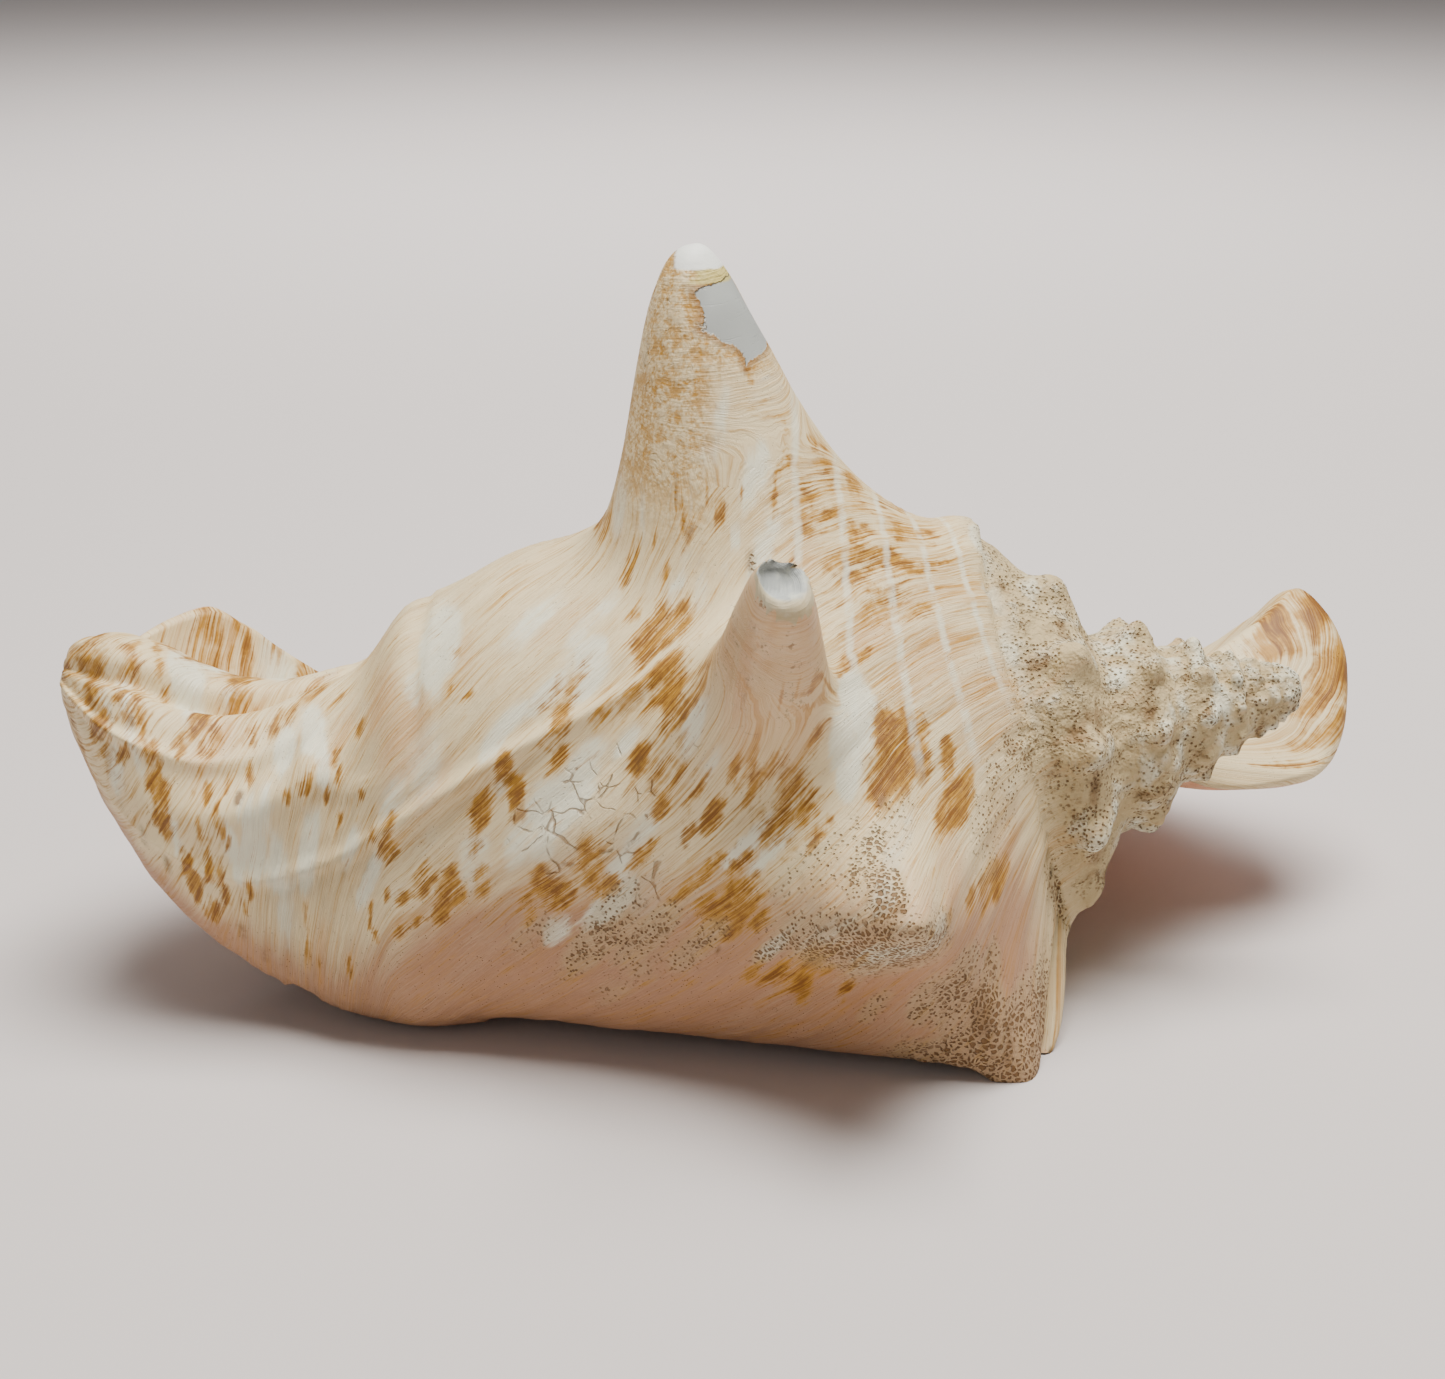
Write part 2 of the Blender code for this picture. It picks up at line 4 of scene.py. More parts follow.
import bpy
import numpy as np
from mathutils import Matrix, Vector


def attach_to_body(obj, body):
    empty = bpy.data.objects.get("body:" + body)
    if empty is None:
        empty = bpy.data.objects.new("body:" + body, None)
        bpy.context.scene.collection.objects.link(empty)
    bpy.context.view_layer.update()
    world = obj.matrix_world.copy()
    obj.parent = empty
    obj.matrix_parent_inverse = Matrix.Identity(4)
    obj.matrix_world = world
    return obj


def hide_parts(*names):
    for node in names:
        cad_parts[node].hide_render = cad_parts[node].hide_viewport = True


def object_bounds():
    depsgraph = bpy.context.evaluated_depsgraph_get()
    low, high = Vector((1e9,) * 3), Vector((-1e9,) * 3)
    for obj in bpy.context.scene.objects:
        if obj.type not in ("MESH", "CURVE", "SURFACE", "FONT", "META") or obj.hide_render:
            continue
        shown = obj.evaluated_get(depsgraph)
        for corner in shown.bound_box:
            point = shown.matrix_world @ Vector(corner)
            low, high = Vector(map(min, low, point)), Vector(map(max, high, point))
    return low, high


bl_info = {
    "name": "Conch shell",
    "version": (1, 0, 0),
    "blender": (4, 5, 0),
    "location": "3D View > Sidebar > Conch",
    "description": "Builds a chalky conch shell with a knobbed spire and a flared lip",
    "category": "Object",
}

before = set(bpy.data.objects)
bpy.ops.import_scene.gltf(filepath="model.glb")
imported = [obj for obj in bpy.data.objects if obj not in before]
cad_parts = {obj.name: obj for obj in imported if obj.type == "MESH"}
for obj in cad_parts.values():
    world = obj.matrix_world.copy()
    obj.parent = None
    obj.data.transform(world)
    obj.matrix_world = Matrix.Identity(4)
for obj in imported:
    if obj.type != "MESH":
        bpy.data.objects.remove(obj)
CAD_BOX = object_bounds()

# Shape, in millimetres round the shell's own axis; angles in degrees: 0 on top, 90 far side, -90 near side.
MM = 0.001
APEX_X = 105.5
CANAL_X = -118.0
PLAN_SHIFT = (3.8, 8.75)

# Camera that took the photo: picture size in pixels, distance and aim in mm, tilt and field of view across in
# degrees
PHOTO_SIZE = (1445, 1379)
PHOTO_DISTANCE = 404.0
PHOTO_AIM = (0.0, 0.0, 54.0)
PHOTO_TILT = 20.0
PHOTO_FIELD = 36.0

WING_BACK_X = 84.0
WING_FRONT_X = 62.0
BODY_FRONT_X = -74.0
ROWS = (102, 85, 165, 58)
LIP_COLUMNS = 26
RING_COLUMNS = 148
CORE_COLUMNS = 24
WALL_COLUMNS = 20

BELLY_ANGLE = -185.0
CORE_ANGLE = -375.0
WALL_ANGLE = -15.0

CENTRE = [(-118, -4, 58), (-113, -6, 54), (-106, -8, 47.5), (-96, -9, 39.5), (-87, -8, 34), (-78, -7, 31.5),
          (-68, -6, 32), (-54, -6, 36.5), (-33, -5, 41), (0, -4, 42), (30, -2, 41), (50, -1, 41.5),
          (70, 0, 44.5), (88, 0, 49.5), (105.5, 0, 54)]
BODY_RADIUS = [(-118, 1.5), (-116.5, 6.5), (-112, 12), (-106, 17), (-100, 20.5), (-92, 22.5), (-84, 24.5),
               (-74, 26.5), (-64, 28), (-54, 33), (-44, 36.5), (-33, 40), (-15, 44.5), (5, 48), (25, 50),
               (45, 50), (60, 48)]
BELLY_FULL = [(-118, 0), (-95, 2), (-78, 4), (-60, 9.5), (-44, 8.5), (-20, 7), (35, 6), (60, 3)]
BELLY_FULL_ANGLE = -140.0
BELLY_FULL_WIDTH = 30.0
UNDER_FLAT = [(-118, 0), (-78, 0), (-50, 2), (-25, 6), (5, 9.5), (30, 11.5), (60, 11)]
UNDER_ANGLE = -190.0
UNDER_WIDTH = 36.0
GROWTH = [(-140, 46.5, 55), (-105, 49.5, 69), (-60, 54, 92), (-17, 59, 102), (20, 60, 107), (60, 56, 111),
          (110, 50, 115)]
WHORL_RATIO = 1.48
WHORL_ANGLE = -430.0
WHORL_SUTURE = 35.7
WHORL_SHOULDER = 0.38
SPIRE_SLOPE = 0.555
STEP_DEPTH = 0.055
KNOB_HEIGHT = 0.085
KNOBS_PER_TURN = 10
CALLUS_HEIGHT = 7.0
CALLUS_ANGLE = -202.0
CALLUS_WIDTH = 26.0
BULGES = [(46.0, 14.0, 8.5, 28.0, 10.5), (62.5, -152.0, 6.5, 22.0, 7.0)]
LIP_EDGE = [(84.0, 84, 8, 38.5), (82.3, 89, 10, 31.5), (80.6, 97, 11, 29.5), (79, 105, 13, 29.5),
            (77.4, 113, 16, 30), (75.8, 120, 23, 32), (74.2, 124.5, 32, 38.5), (72.4, 126, 41, 46.5),
            (70.4, 123, 49, 54), (68.0, 117.5, 55, 57.5), (65.5, 111, 61, 50), (62, 104, 68, 41),
            (56, 92, 77, 30), (48, 76, 84, 20), (38, 56, 90, 11), (26, 34, 93.5, 5.5), (12, 13, 94, 3.4),
            (-8, -10, 90, 3.2), (-22, -25, 82, 3.6), (-38, -41, 70, 5.5), (-52, -55, 57, 13),
            (-64, -67, 45, 30), (-74, -76, 37, 42), (-83, -84, 32, 50), (-91, -91.5, 28, 57.5),
            (-98, -98, 24.5, 62), (-104, -104, 19, 61), (-110, -110, 11, 59), (-115, -114.5, 4, 58),
            (-118, -117.5, -1, 57.5)]
LIP_FLARE = [(84, 0.6, 0.3, -0.7), (79, 0.8, 0.6, 0.0), (74, 0.7, 0.6, 0.4), (68, 0.5, 0.7, 0.5),
             (56, 0.3, 0.95, 0.1), (26, 0.1, 1.0, 0.02), (-22, -0.05, 1.0, 0.02), (-52, -0.1, 0.95, 0.3),
             (-74, -0.1, 0.5, 0.86), (-98, 0.0, 0.25, 0.97), (-118, -0.3, 0.1, 0.9)]
THICKNESS = [(-118, 0.5), (-112, 2.6), (-98, 4.0), (-60, 4.6), (0, 5.0), (50, 4.8), (66, 4.0), (78, 4.4),
             (81, 3.6), (84, 0.3)]
COLUMN_RADIUS = [(-118, 0.8), (-106, 4), (-90, 6), (-60, 9), (-20, 14), (20, 17), (50, 15), (66, 12), (84, 8)]
COLUMN_WRAP = 40.0
LIP_SHARE = [(-118.0, 0.0), (-113.5, 1.0), (79.5, 1.0), (84.0, 0.0)]
OPEN_SHARE = [(-117.0, 0.0), (-109.0, 1.0), (36.0, 1.0), (74.0, 0.0)]
LIP_ROOT = [(68.0, 75.0), (74.0, 88.0), (79.0, 112.0), (84.0, 138.0)]
ROOT_LIFT = 0.95

# Spines: x, angle, reach to the canal, to the spire, upwards and downwards in degrees, tip x, y, z,
# sharpness to the canal and to the spire, and how far the tip's end turns upwards
SPINES = [("crown", -0.5, -3.0, 14.4, 17.0, 21.0, 21.0, (-4.5, -6.0, 135.6), 2.9, 1.7, 0.0),
          ("near root", 2.0, -64.0, 11.0, 14.0, 16.0, 9.0, (5.5, -57.0, 75.5), 2.2, 1.7, 0.0),
          ("near", 6.0, -60.0, 8.6, 8.0, 10.5, 8.5, (9.8, -66.5, 97.5), 3.6, 3.6, 0.1),
          ("side", 25.5, -100.0, 20.0, 10.0, 15.0, 9.5, (29.5, -77.5, 43.0), 1.35, 1.8, 0.0),
          ("corner", 45.5, -134.0, 17.0, 9.0, 13.0, 11.0, (51.5, -46.5, -2.5), 1.4, 1.9, 0.0),
          ("corner callus", 54.0, -156.0, 8.0, 7.0, 10.0, 10.0, (57.8, -36.0, -1.5), 2.2, 2.2, 0.0)]

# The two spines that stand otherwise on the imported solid, and stood so when the marks were read off the photo
READ_SPINES = {"near": ("near", 6.0, -60.0, 8.6, 8.0, 10.5, 8.5, (9.6, -67.5, 94.6), 3.6, 3.6, 0.6),
               "side": ("side", 28.0, -100.0, 21.0, 10.0, 15.0, 9.5, (37.5, -77.0, 41.5), 1.35, 1.8, 0.0)}

# Lumps: x, angle, reach along the axis, reach round it in degrees, height, slant in mm a degree
LUMPS = [(-57, -5, 5, 45, 3.4, 0.0), (-43, -70, 4.5, 24, 2.6, 1.7), (-78, -62, 7, 16, 3.6, 0.6),
         (-66, -118, 10, 22, 2.6, 0.5), (-24, -85, 9, 14, 2.0, 1.2), (-86, -12, 6, 26, -5.0, 0.9),
         (-104, -14, 9, 38, 3.2, 0.0), (5, -112, 12, 9, 2.0, 0.8), (-101, -60, 5, 25, 1.5, 1.2),
         (36, 16, 13, 26, 7.5, 0.0), (36, -6, 11, 20, 2.0, 0.0), (24, 62, 12, 18, 5.0, 0.0),
         (49, -20, 4, 5, 3.0, 0.0), (52, -45, 3.5, 6, 2.4, 0.0), (54, -78, 3.5, 6, 2.6, 0.0)]
FLAT_SPOTS = [(-56, -24, 17), (52, -43, 8.5), (2, 88, 34)]
FLOOR_GAP = 1.8
FLOOR_SOFTNESS = 2.6
FLAT_PRESS = 1.3


def through(points, at):
    """Monotone cubic line through outline points: each stretch is a Hermite curve whose slopes are the
    harmonic mean of the two neighbouring rates, or zero where those differ in sign."""
    table = np.array(points, float)
    table = table[np.argsort(table[:, 0])]
    knots = table[:, 0]
    values = table[:, 1:]
    step = np.diff(knots)[:, None]
    rate = np.diff(values, axis=0) / step
    product = rate[:-1] * rate[1:]
    total = rate[:-1] + rate[1:]
    safe = np.where(product > 0, total, 1.0)
    slope = np.zeros_like(values)
    slope[1:-1] = np.where(product > 0, 2 * product / safe, 0.0)
    slope[0] = rate[0]
    slope[-1] = rate[-1]
    place = np.clip(np.asarray(at, float), knots[0], knots[-1])
    index = np.clip(np.searchsorted(knots, place, side="right") - 1, 0, len(knots) - 2)
    width = (knots[index + 1] - knots[index])[..., None]
    t = (place - knots[index])[..., None] / width
    a = values[index] * (1 + 2 * t) * (1 - t) ** 2 + slope[index] * width * t * (1 - t) ** 2
    b = values[index + 1] * t * t * (3 - 2 * t) + slope[index + 1] * width * t * t * (t - 1)
    result = a + b
    return result[..., 0] if result.shape[-1] == 1 else result


def ease(low, high, value):
    """Smooth step: t squared times (3 - 2t), with t running from 0 at low to 1 at high."""
    t = np.clip((value - low) / (high - low), 0, 1)
    return t * t * (3 - 2 * t)


def unit(vector):
    """Vector divided by its length."""
    return vector / np.maximum(np.linalg.norm(vector, axis=-1, keepdims=True), 1e-9)


def scatter(cell, seed):
    """Fixed pseudo-random number from 0 to 1 for whole-number cells: the fraction of a large sine."""
    mixed = cell[..., 0] * 127.1 + cell[..., 1] * 311.7 + cell[..., 2] * 74.7 + seed * 19.19
    value = np.sin(mixed) * 43758.5453
    return value - np.floor(value)


def rough_noise(point, size, seed=0.0):
    """Value noise from -1 to 1: cell corner numbers blended over the cell with the smooth step."""
    place = point / size
    cell = np.floor(place)
    t = place - cell
    t = t * t * (3 - 2 * t)
    total = np.zeros(point.shape[:-1])
    for corner in range(8):
        step = np.array([corner & 1, corner >> 1 & 1, corner >> 2 & 1], float)
        weight = np.prod(np.where(step > 0, t, 1 - t), axis=-1)
        total += weight * scatter(cell + step, seed)
    return total * 2 - 1


def layered_noise(point, size, layers, seed=0.0):
    """Sum of value noises, each layer half the size and half the height of the one before."""
    total = np.zeros(point.shape[:-1])
    height = 1.0
    for layer in range(layers):
        total += height * rough_noise(point, size / 2 ** layer, seed + layer)
        height *= 0.5
    return total


def station_places():
    """Axis places of the sections: even steps in the spire, wing and body, a sine run-out at the canal."""
    spire = APEX_X - (APEX_X - WING_BACK_X) * np.linspace(0.02, 1, ROWS[0], endpoint=False)
    wing = np.linspace(WING_BACK_X, WING_FRONT_X, ROWS[1], endpoint=False)
    share = np.linspace(0, 1, 2000)
    place = WING_FRONT_X + (BODY_FRONT_X - WING_FRONT_X) * share
    weight = 1.15 - 0.25 * share + 0.9 * np.exp(-((place - 6) / 10) ** 2)
    weight = weight + 0.4 * np.exp(-((place - 30) / 12) ** 2)
    run = np.concatenate([[0], np.cumsum((weight[1:] + weight[:-1]) / 2)])
    body = np.interp(np.linspace(0, run[-1], ROWS[2], endpoint=False), run, place)
    canal = BODY_FRONT_X + (CANAL_X - BODY_FRONT_X) * np.sin(np.linspace(0, 1, ROWS[3]) * math.pi / 2)
    return np.concatenate([spire, wing, body, canal])


def ring_angles(attach):
    """Angles of the outer ring, spaced by the inverse of a density that peaks at each spine."""
    share = np.linspace(0, 1, 2000)
    angles = 80 + (BELLY_ANGLE - 80) * share
    weight = np.ones_like(share)
    for spine, extra in ((SPINES[0], 1.4), (SPINES[2], 2.6), (SPINES[3], 1.6), (SPINES[4], 1.3)):
        weight += extra * np.exp(-((angles - spine[2]) / 9) ** 2)
    run = np.concatenate([[0], np.cumsum((weight[1:] + weight[:-1]) / 2)])
    picks = np.interp(np.linspace(0, run[-1], RING_COLUMNS), run, share)
    return attach[:, None] + (BELLY_ANGLE - attach[:, None]) * picks[None, :]


def sutures(angle):
    """Distance from the apex of suture and shoulder: a power of the whorl ratio in the spire, eased into the
    outline of the last turn."""
    early = WHORL_SUTURE * WHORL_RATIO ** ((angle - WHORL_ANGLE) / 360)
    late = through(GROWTH, angle)
    share = ease(-175, -140, angle)
    suture = early * (1 - share) + late[..., 0] * share
    shoulder = early * WHORL_RATIO ** WHORL_SHOULDER * (1 - share) + late[..., 1] * share
    return suture, shoulder


def whorl_place(distance, angle):
    """Place inside its own whorl, as the logarithm of the distance between the two sutures, and its angle."""
    best = np.zeros_like(distance)
    own = np.array(angle, float)
    found = np.zeros(distance.shape, bool)
    for turn in range(0, 12):
        upper, _ = sutures(angle - 360 * turn)
        lower = sutures(angle - 360 * (turn - 1))[0] if turn else upper * 2
        inside = (distance >= upper) & ~found
        best = np.where(inside, np.log(distance / upper) / np.log(lower / upper), best)
        own = np.where(inside, angle - 360 * turn, own)
        found |= inside
    return np.clip(best, 0, 1), own


def spire_radius(distance, angle):
    """Cone whose radius is a share of the distance, rounded off at the apex, with a whorl profile that rises
    as a squared sine to the shoulder and falls as a squared cosine to the suture, and with cosine knobs."""
    place, own = whorl_place(distance, angle)
    blunt = 3.7 * (1 - np.exp(-distance / 1.2)) * np.exp(-distance / 12)
    up = np.sin(math.pi / 2 * np.clip(place / WHORL_SHOULDER, 0, 1)) ** 2
    down = np.cos(math.pi / 2 * np.clip((place - WHORL_SHOULDER) / (1 - WHORL_SHOULDER), 0, 1)) ** 2
    rise = np.where(place < WHORL_SHOULDER, up, down)
    step = STEP_DEPTH * (2 * rise - 1) * (0.5 + 0.5 * ease(8, 34, distance))
    turn = np.cos(np.radians(own * KNOBS_PER_TURN))
    knob = KNOB_HEIGHT * np.clip(turn, 0, 1) ** 1.3 * np.exp(-((place - WHORL_SHOULDER) / 0.22) ** 2)
    return distance * (SPIRE_SLOPE + step + knob) + blunt


def body_radius(x, angle):
    """Outline radius plus Gaussian swellings in angle and along the axis."""
    radius = through(BODY_RADIUS, x)
    full = through(BELLY_FULL, x)
    radius = radius + full * np.exp(-((angle - BELLY_FULL_ANGLE) / BELLY_FULL_WIDTH) ** 2)
    under = through(UNDER_FLAT, x)
    radius = radius - under * np.exp(-((angle - UNDER_ANGLE) / UNDER_WIDTH) ** 2)
    radius = radius + 4.0 * ease(0, 90, angle) * ease(-80, -30, x)
    for place, at, reach, turn, height, slant in LUMPS:
        along = (x - place - slant * (angle - at)) / reach if slant else (x - place) / reach
        radius = radius + height * np.exp(-along ** 2 - ((angle - at) / turn) ** 2)
    return radius


def ring_radius(x, angle):
    """Spire radius behind the suture, body radius past the shoulder, and a quadratic ramp between them."""
    distance = np.maximum(APEX_X - x, 0.2) + 0 * angle
    angle = angle + 0 * x
    x = x + 0 * angle
    suture, shoulder = sutures(angle)
    spire = spire_radius(distance, angle)
    body = body_radius(x, angle)
    t = np.clip((distance - suture) / np.maximum(shoulder - suture, 1), 0, 1)
    ramp = t * (1.75 - 0.75 * t)
    blend = np.where(distance < suture, 0, ramp)
    grown = angle > -200
    closed = suture * SPIRE_SLOPE * 0.98
    outer = closed * (1 - blend) + body * blend
    radius = np.where((distance < suture) | ~grown, spire, outer)
    late = body_radius(x, np.maximum(angle, BELLY_ANGLE))
    radius = np.where(~grown, np.minimum(np.maximum(spire, 0), late), radius)
    pad = CALLUS_HEIGHT * np.exp(-((angle - CALLUS_ANGLE) / CALLUS_WIDTH) ** 2)
    pad = pad * ease(84.5, 81.5, x) * ease(40, 62, x)
    radius = radius + pad
    for place, at, reach, turn, height in BULGES:
        radius = radius + height * np.exp(-((x - place) / reach) ** 2 - ((angle - at) / turn) ** 2)
    return radius


def round_point(x, angle, radius):
    """Point at a radius and angle round the middle line of the whorls."""
    centre = through(CENTRE, x + 0 * angle)
    turn = np.radians(angle)
    point = np.empty(radius.shape + (3,))
    point[..., 0] = x
    point[..., 1] = centre[..., 0] + radius * np.sin(turn)
    point[..., 2] = centre[..., 1] + radius * np.cos(turn)
    return point


def ring_point(x, angle):
    """Point of the outer skin."""
    return round_point(x, angle, ring_radius(x, angle))


def spine_share(x, angle, spine):
    """Share from 0 to 1 of a spine: exp of minus a power of the elliptic distance from its base."""
    along = (x - spine[1]) / np.where(x > spine[1], spine[4], spine[3])
    around = (angle - spine[2]) / np.where(angle > spine[2], spine[5], spine[6])
    away = np.sqrt(along ** 2 + around ** 2)
    lean = 0.5 * (1 + along / np.maximum(away, 1e-6))
    sharp = spine[8] * (1 - lean) + spine[9] * lean
    return np.exp(-away ** sharp)


def spine_lift(x, angle, point, spines):
    """Skin points moved towards each spine's tip by that spine's share; a tip's end is turned upwards by
    moving its lower side out and its upper side in."""
    moved = point.copy()
    carried = np.zeros(3)
    for spine in spines:
        base = ring_point(np.array([[spine[1]]]), np.array([[spine[2]]]))[0, 0]
        share = spine_share(x, angle, spine)[..., None]
        if spine[0] == "near":
            base = base + spine_share(spine[1], spine[2], spines[1]) * carried
        carried = np.array(spine[7]) - base
        moved += share * carried
        turn = np.radians(spine[2])
        out = np.array([0, np.sin(turn), np.cos(turn)])
        rise = np.clip(np.radians(angle - spine[2]) * 48.0, -9, 9)[..., None]
        rise = rise * np.ones(point.shape[:2] + (1,))
        moved -= spine[10] * share * rise * out
    return moved


def even(vectors, times):
    """Vectors averaged with those of the neighbouring sections, over and over, and set to length one."""
    result = vectors
    for _ in range(times):
        padded = np.concatenate([result[:1], result, result[-1:]])
        result = unit(padded[:-2] + 2 * padded[1:-1] + padded[2:])
    return result


def lip_curve(root, root_way, edge, flare, share):
    """Bezier curve from the whorl to the lip's edge, leaving along one direction and ending along another."""
    span = np.linalg.norm(edge - root, axis=-1, keepdims=True)
    first = root + root_way * span * 0.30
    second = edge - flare * span * 0.38
    t = share[None, :, None]
    root = root[:, None]
    first = first[:, None]
    second = second[:, None]
    edge = edge[:, None]
    return root * (1 - t) ** 3 + 3 * first * t * (1 - t) ** 2 + 3 * second * t * t * (1 - t) + edge * t ** 3


def settle(points):
    """Underside held just over the floor by a smooth maximum, and pressed flat where the shell rests."""
    result = points.copy()
    gap = np.full(points.shape[:2], FLOOR_GAP)
    press = np.zeros(points.shape[:2])
    for x, y, reach in FLAT_SPOTS:
        away = np.hypot(points[..., 0] - x, points[..., 1] - y) / reach
        gap -= (FLOOR_GAP + 2.0) * np.exp(-away ** 4)
        press += FLAT_PRESS * np.exp(-away ** 4)
    above = points[..., 2] - gap
    soft = np.where(gap > 0, FLOOR_SOFTNESS, 0.5)
    result[..., 2] = gap + (above + np.sqrt(above ** 2 + soft ** 2)) / 2
    blend = ease(6, 14, points[..., 2])
    result[..., 2] = result[..., 2] * (1 - blend) + points[..., 2] * blend
    result[..., 2] = np.maximum(result[..., 2] - press * (1 - blend), 0)
    return result


class Skin:
    """Points of the whole skin on a grid, with the axis place, angle and depth into the opening of each."""

    def __init__(self, spines=SPINES):
        x = station_places()
        column = x[:, None]
        lip = ease(0, 1, through(LIP_SHARE, x)[:, None, None])
        opened = ease(0, 1, through(OPEN_SHARE, x))[:, None, None]
        attach = through(LIP_ROOT, x)
        rest = (BELLY_ANGLE + 360 - attach)[:, None]
        angles = ring_angles(attach)
        plain_ring = ring_point(column, angles)
        ring = spine_lift(column, angles, plain_ring, spines)

        root = ring[:, 0]
        root_way = unit(ring[:, 0] - ring[:, 1])
        straight = ease(64, 79, x)[:, None]
        edge = through(LIP_EDGE, x)
        outward = unit(edge - root)
        turn = np.radians(attach)
        away = np.stack([0 * turn, np.sin(turn), np.cos(turn)], -1)
        root_way = unit(root_way * (1 - straight) + (outward + ROOT_LIFT * away) * straight)
        flare = unit(through(LIP_FLARE, x) * (1 - 0.8 * straight) + outward * 0.8 * straight)
        steps = np.linspace(1, 0, LIP_COLUMNS, endpoint=False)
        outer = lip_curve(root, root_way, edge, flare, steps)
        closed_outer = ring_point(column, attach[:, None] + 0.22 * rest * steps[None, :])
        outer = outer * lip + closed_outer * (1 - lip)

        thick = through(THICKNESS, x)[:, None, None]
        whole = np.concatenate([outer, plain_ring], axis=1)
        normal = even(unit(np.cross(np.gradient(whole, axis=0), np.gradient(whole, axis=1))), 75)
        round_edge = np.sqrt(np.clip(1 - (1 - (1 - steps) / 0.05) ** 2, 0, 1))
        round_edge = np.where(1 - steps > 0.05, 1, round_edge)[None, :, None]
        inner = outer - normal[:, :outer.shape[1]] * thick
        outer_rim = outer - normal[:, :outer.shape[1]] * thick * 0.45 * (1 - round_edge) * lip
        inner_rim = inner + normal[:, :outer.shape[1]] * thick * 0.45 * (1 - round_edge) * lip
        outer = outer_rim
        inner = inner_rim
        inner_root = ring_point(column, attach[:, None] + 0.45 * rest - 360)
        at_root = attach[:, None]
        deep_root = round_point(column, at_root, ring_radius(column, at_root) - thick[:, :, 0])
        target = inner_root * (1 - opened) + deep_root * opened
        hold = ((1 - steps) ** 1.5)[None, :, None]
        inner = inner + hold * (target - inner[:, -1:])
        closed_angle = attach[:, None] - 360 + rest * (0.22 + 0.23 * (1 - steps)[None, :])
        inner = inner * lip + ring_point(column, closed_angle) * (1 - lip)
        inner = inner[:, ::-1]

        share = np.linspace(0, 1, CORE_COLUMNS + 1)[1:]
        core_angle = BELLY_ANGLE + (CORE_ANGLE - BELLY_ANGLE) * share[None, :]
        column_radius = through(COLUMN_RADIUS, x)[:, None]
        belly = ring_radius(column, np.full((1, 1), BELLY_ANGLE))
        fade = np.exp(-(BELLY_ANGLE - core_angle) / COLUMN_WRAP)
        core_radius = column_radius + (belly - column_radius) * fade
        wall_share = np.linspace(0, 1, WALL_COLUMNS + 1)[1:-1]
        wall_angle = WALL_ANGLE + (attach[:, None] - WALL_ANGLE) * wall_share[None, :]
        wall_radius = ring_radius(column, wall_angle) - thick[:, :, 0]
        middle = (column_radius + ring_radius(column, np.full((1, 1), WALL_ANGLE)) - thick[:, :, 0]) / 2
        core_close = ease(0.62, 1.0, share[None, :]) ** 1.5
        core_radius = core_radius * (1 - core_close) + middle * core_close
        wall_close = ease(0.62, 0.0, wall_share[None, :]) ** 1.5
        wall_radius = wall_radius * (1 - wall_close) + middle * wall_close
        core = round_point(column, core_angle, core_radius)
        wall = round_point(column, wall_angle, wall_radius)
        closed_core = BELLY_ANGLE - 0.30 * rest * share[None, :]
        closed_wall = BELLY_ANGLE - rest * (0.30 + 0.25 * wall_share[None, :])
        core = core * opened + ring_point(column, closed_core) * (1 - opened)
        wall = wall * opened + ring_point(column, closed_wall) * (1 - opened)

        flat_open = opened[:, :, 0]
        flat_lip = lip[:, :, 0]
        outer_angle = attach[:, None] + 30 * steps[None, :]
        self.points = settle(np.concatenate([outer, ring, core, wall, inner], axis=1))
        self.counts = [part.shape[1] for part in (outer, ring, core, wall, inner)]
        self.x = x
        self.angle = np.concatenate([
            outer_angle, angles, core_angle * flat_open + closed_core * (1 - flat_open),
            wall_angle * flat_open + closed_wall * (1 - flat_open),
            (outer_angle * flat_lip + closed_angle * (1 - flat_lip))[:, ::-1]], axis=1)
        start = np.cumsum([0] + self.counts)
        self.outer = slice(start[0], start[1])
        self.ring = slice(start[1], start[2])
        self.core = slice(start[2], start[3])
        self.wall = slice(start[3], start[4])
        self.inner = slice(start[4], start[5])
        self.opened = flat_open
        self.lip = flat_lip


def skin_normals(points):
    """Outward directions: cross product of the grid's two difference vectors, closed round the section."""
    along = np.gradient(points, axis=0)
    wide = np.concatenate([points[:, -1:], points, points[:, :1]], axis=1)
    across = wide[:, 2:] - wide[:, :-2]
    return unit(np.cross(along, across))


def skin_faces(rows, columns):
    """Quads of the closed grid and the triangles of its two end caps."""
    row = np.arange(rows - 1)[:, None]
    column = np.arange(columns)[None, :]
    after = (column + 1) % columns
    quads = np.stack([row * columns + column, (row + 1) * columns + column,
                      (row + 1) * columns + after, row * columns + after], -1).reshape(-1, 4)
    ring = np.arange(columns)
    follow = (ring + 1) % columns
    apex = rows * columns
    start = np.stack([np.full(columns, apex), ring, follow], -1)
    last = (rows - 1) * columns
    end = np.stack([np.full(columns, apex + 1), last + follow, last + ring], -1)
    return quads, np.concatenate([start, end])


def colour_setting(name, description, default):
    """Colour on the panel."""
    return bpy.props.FloatVectorProperty(name=name, description=description, subtype="COLOR", size=3,
                                         default=default, min=0.0, max=1.0)


def height_setting(name, description, default, top):
    """Height or depth on the panel, in metres."""
    return bpy.props.FloatProperty(name=name, description=description, subtype="DISTANCE", unit="LENGTH",
                                   default=default, min=0.0, max=top)


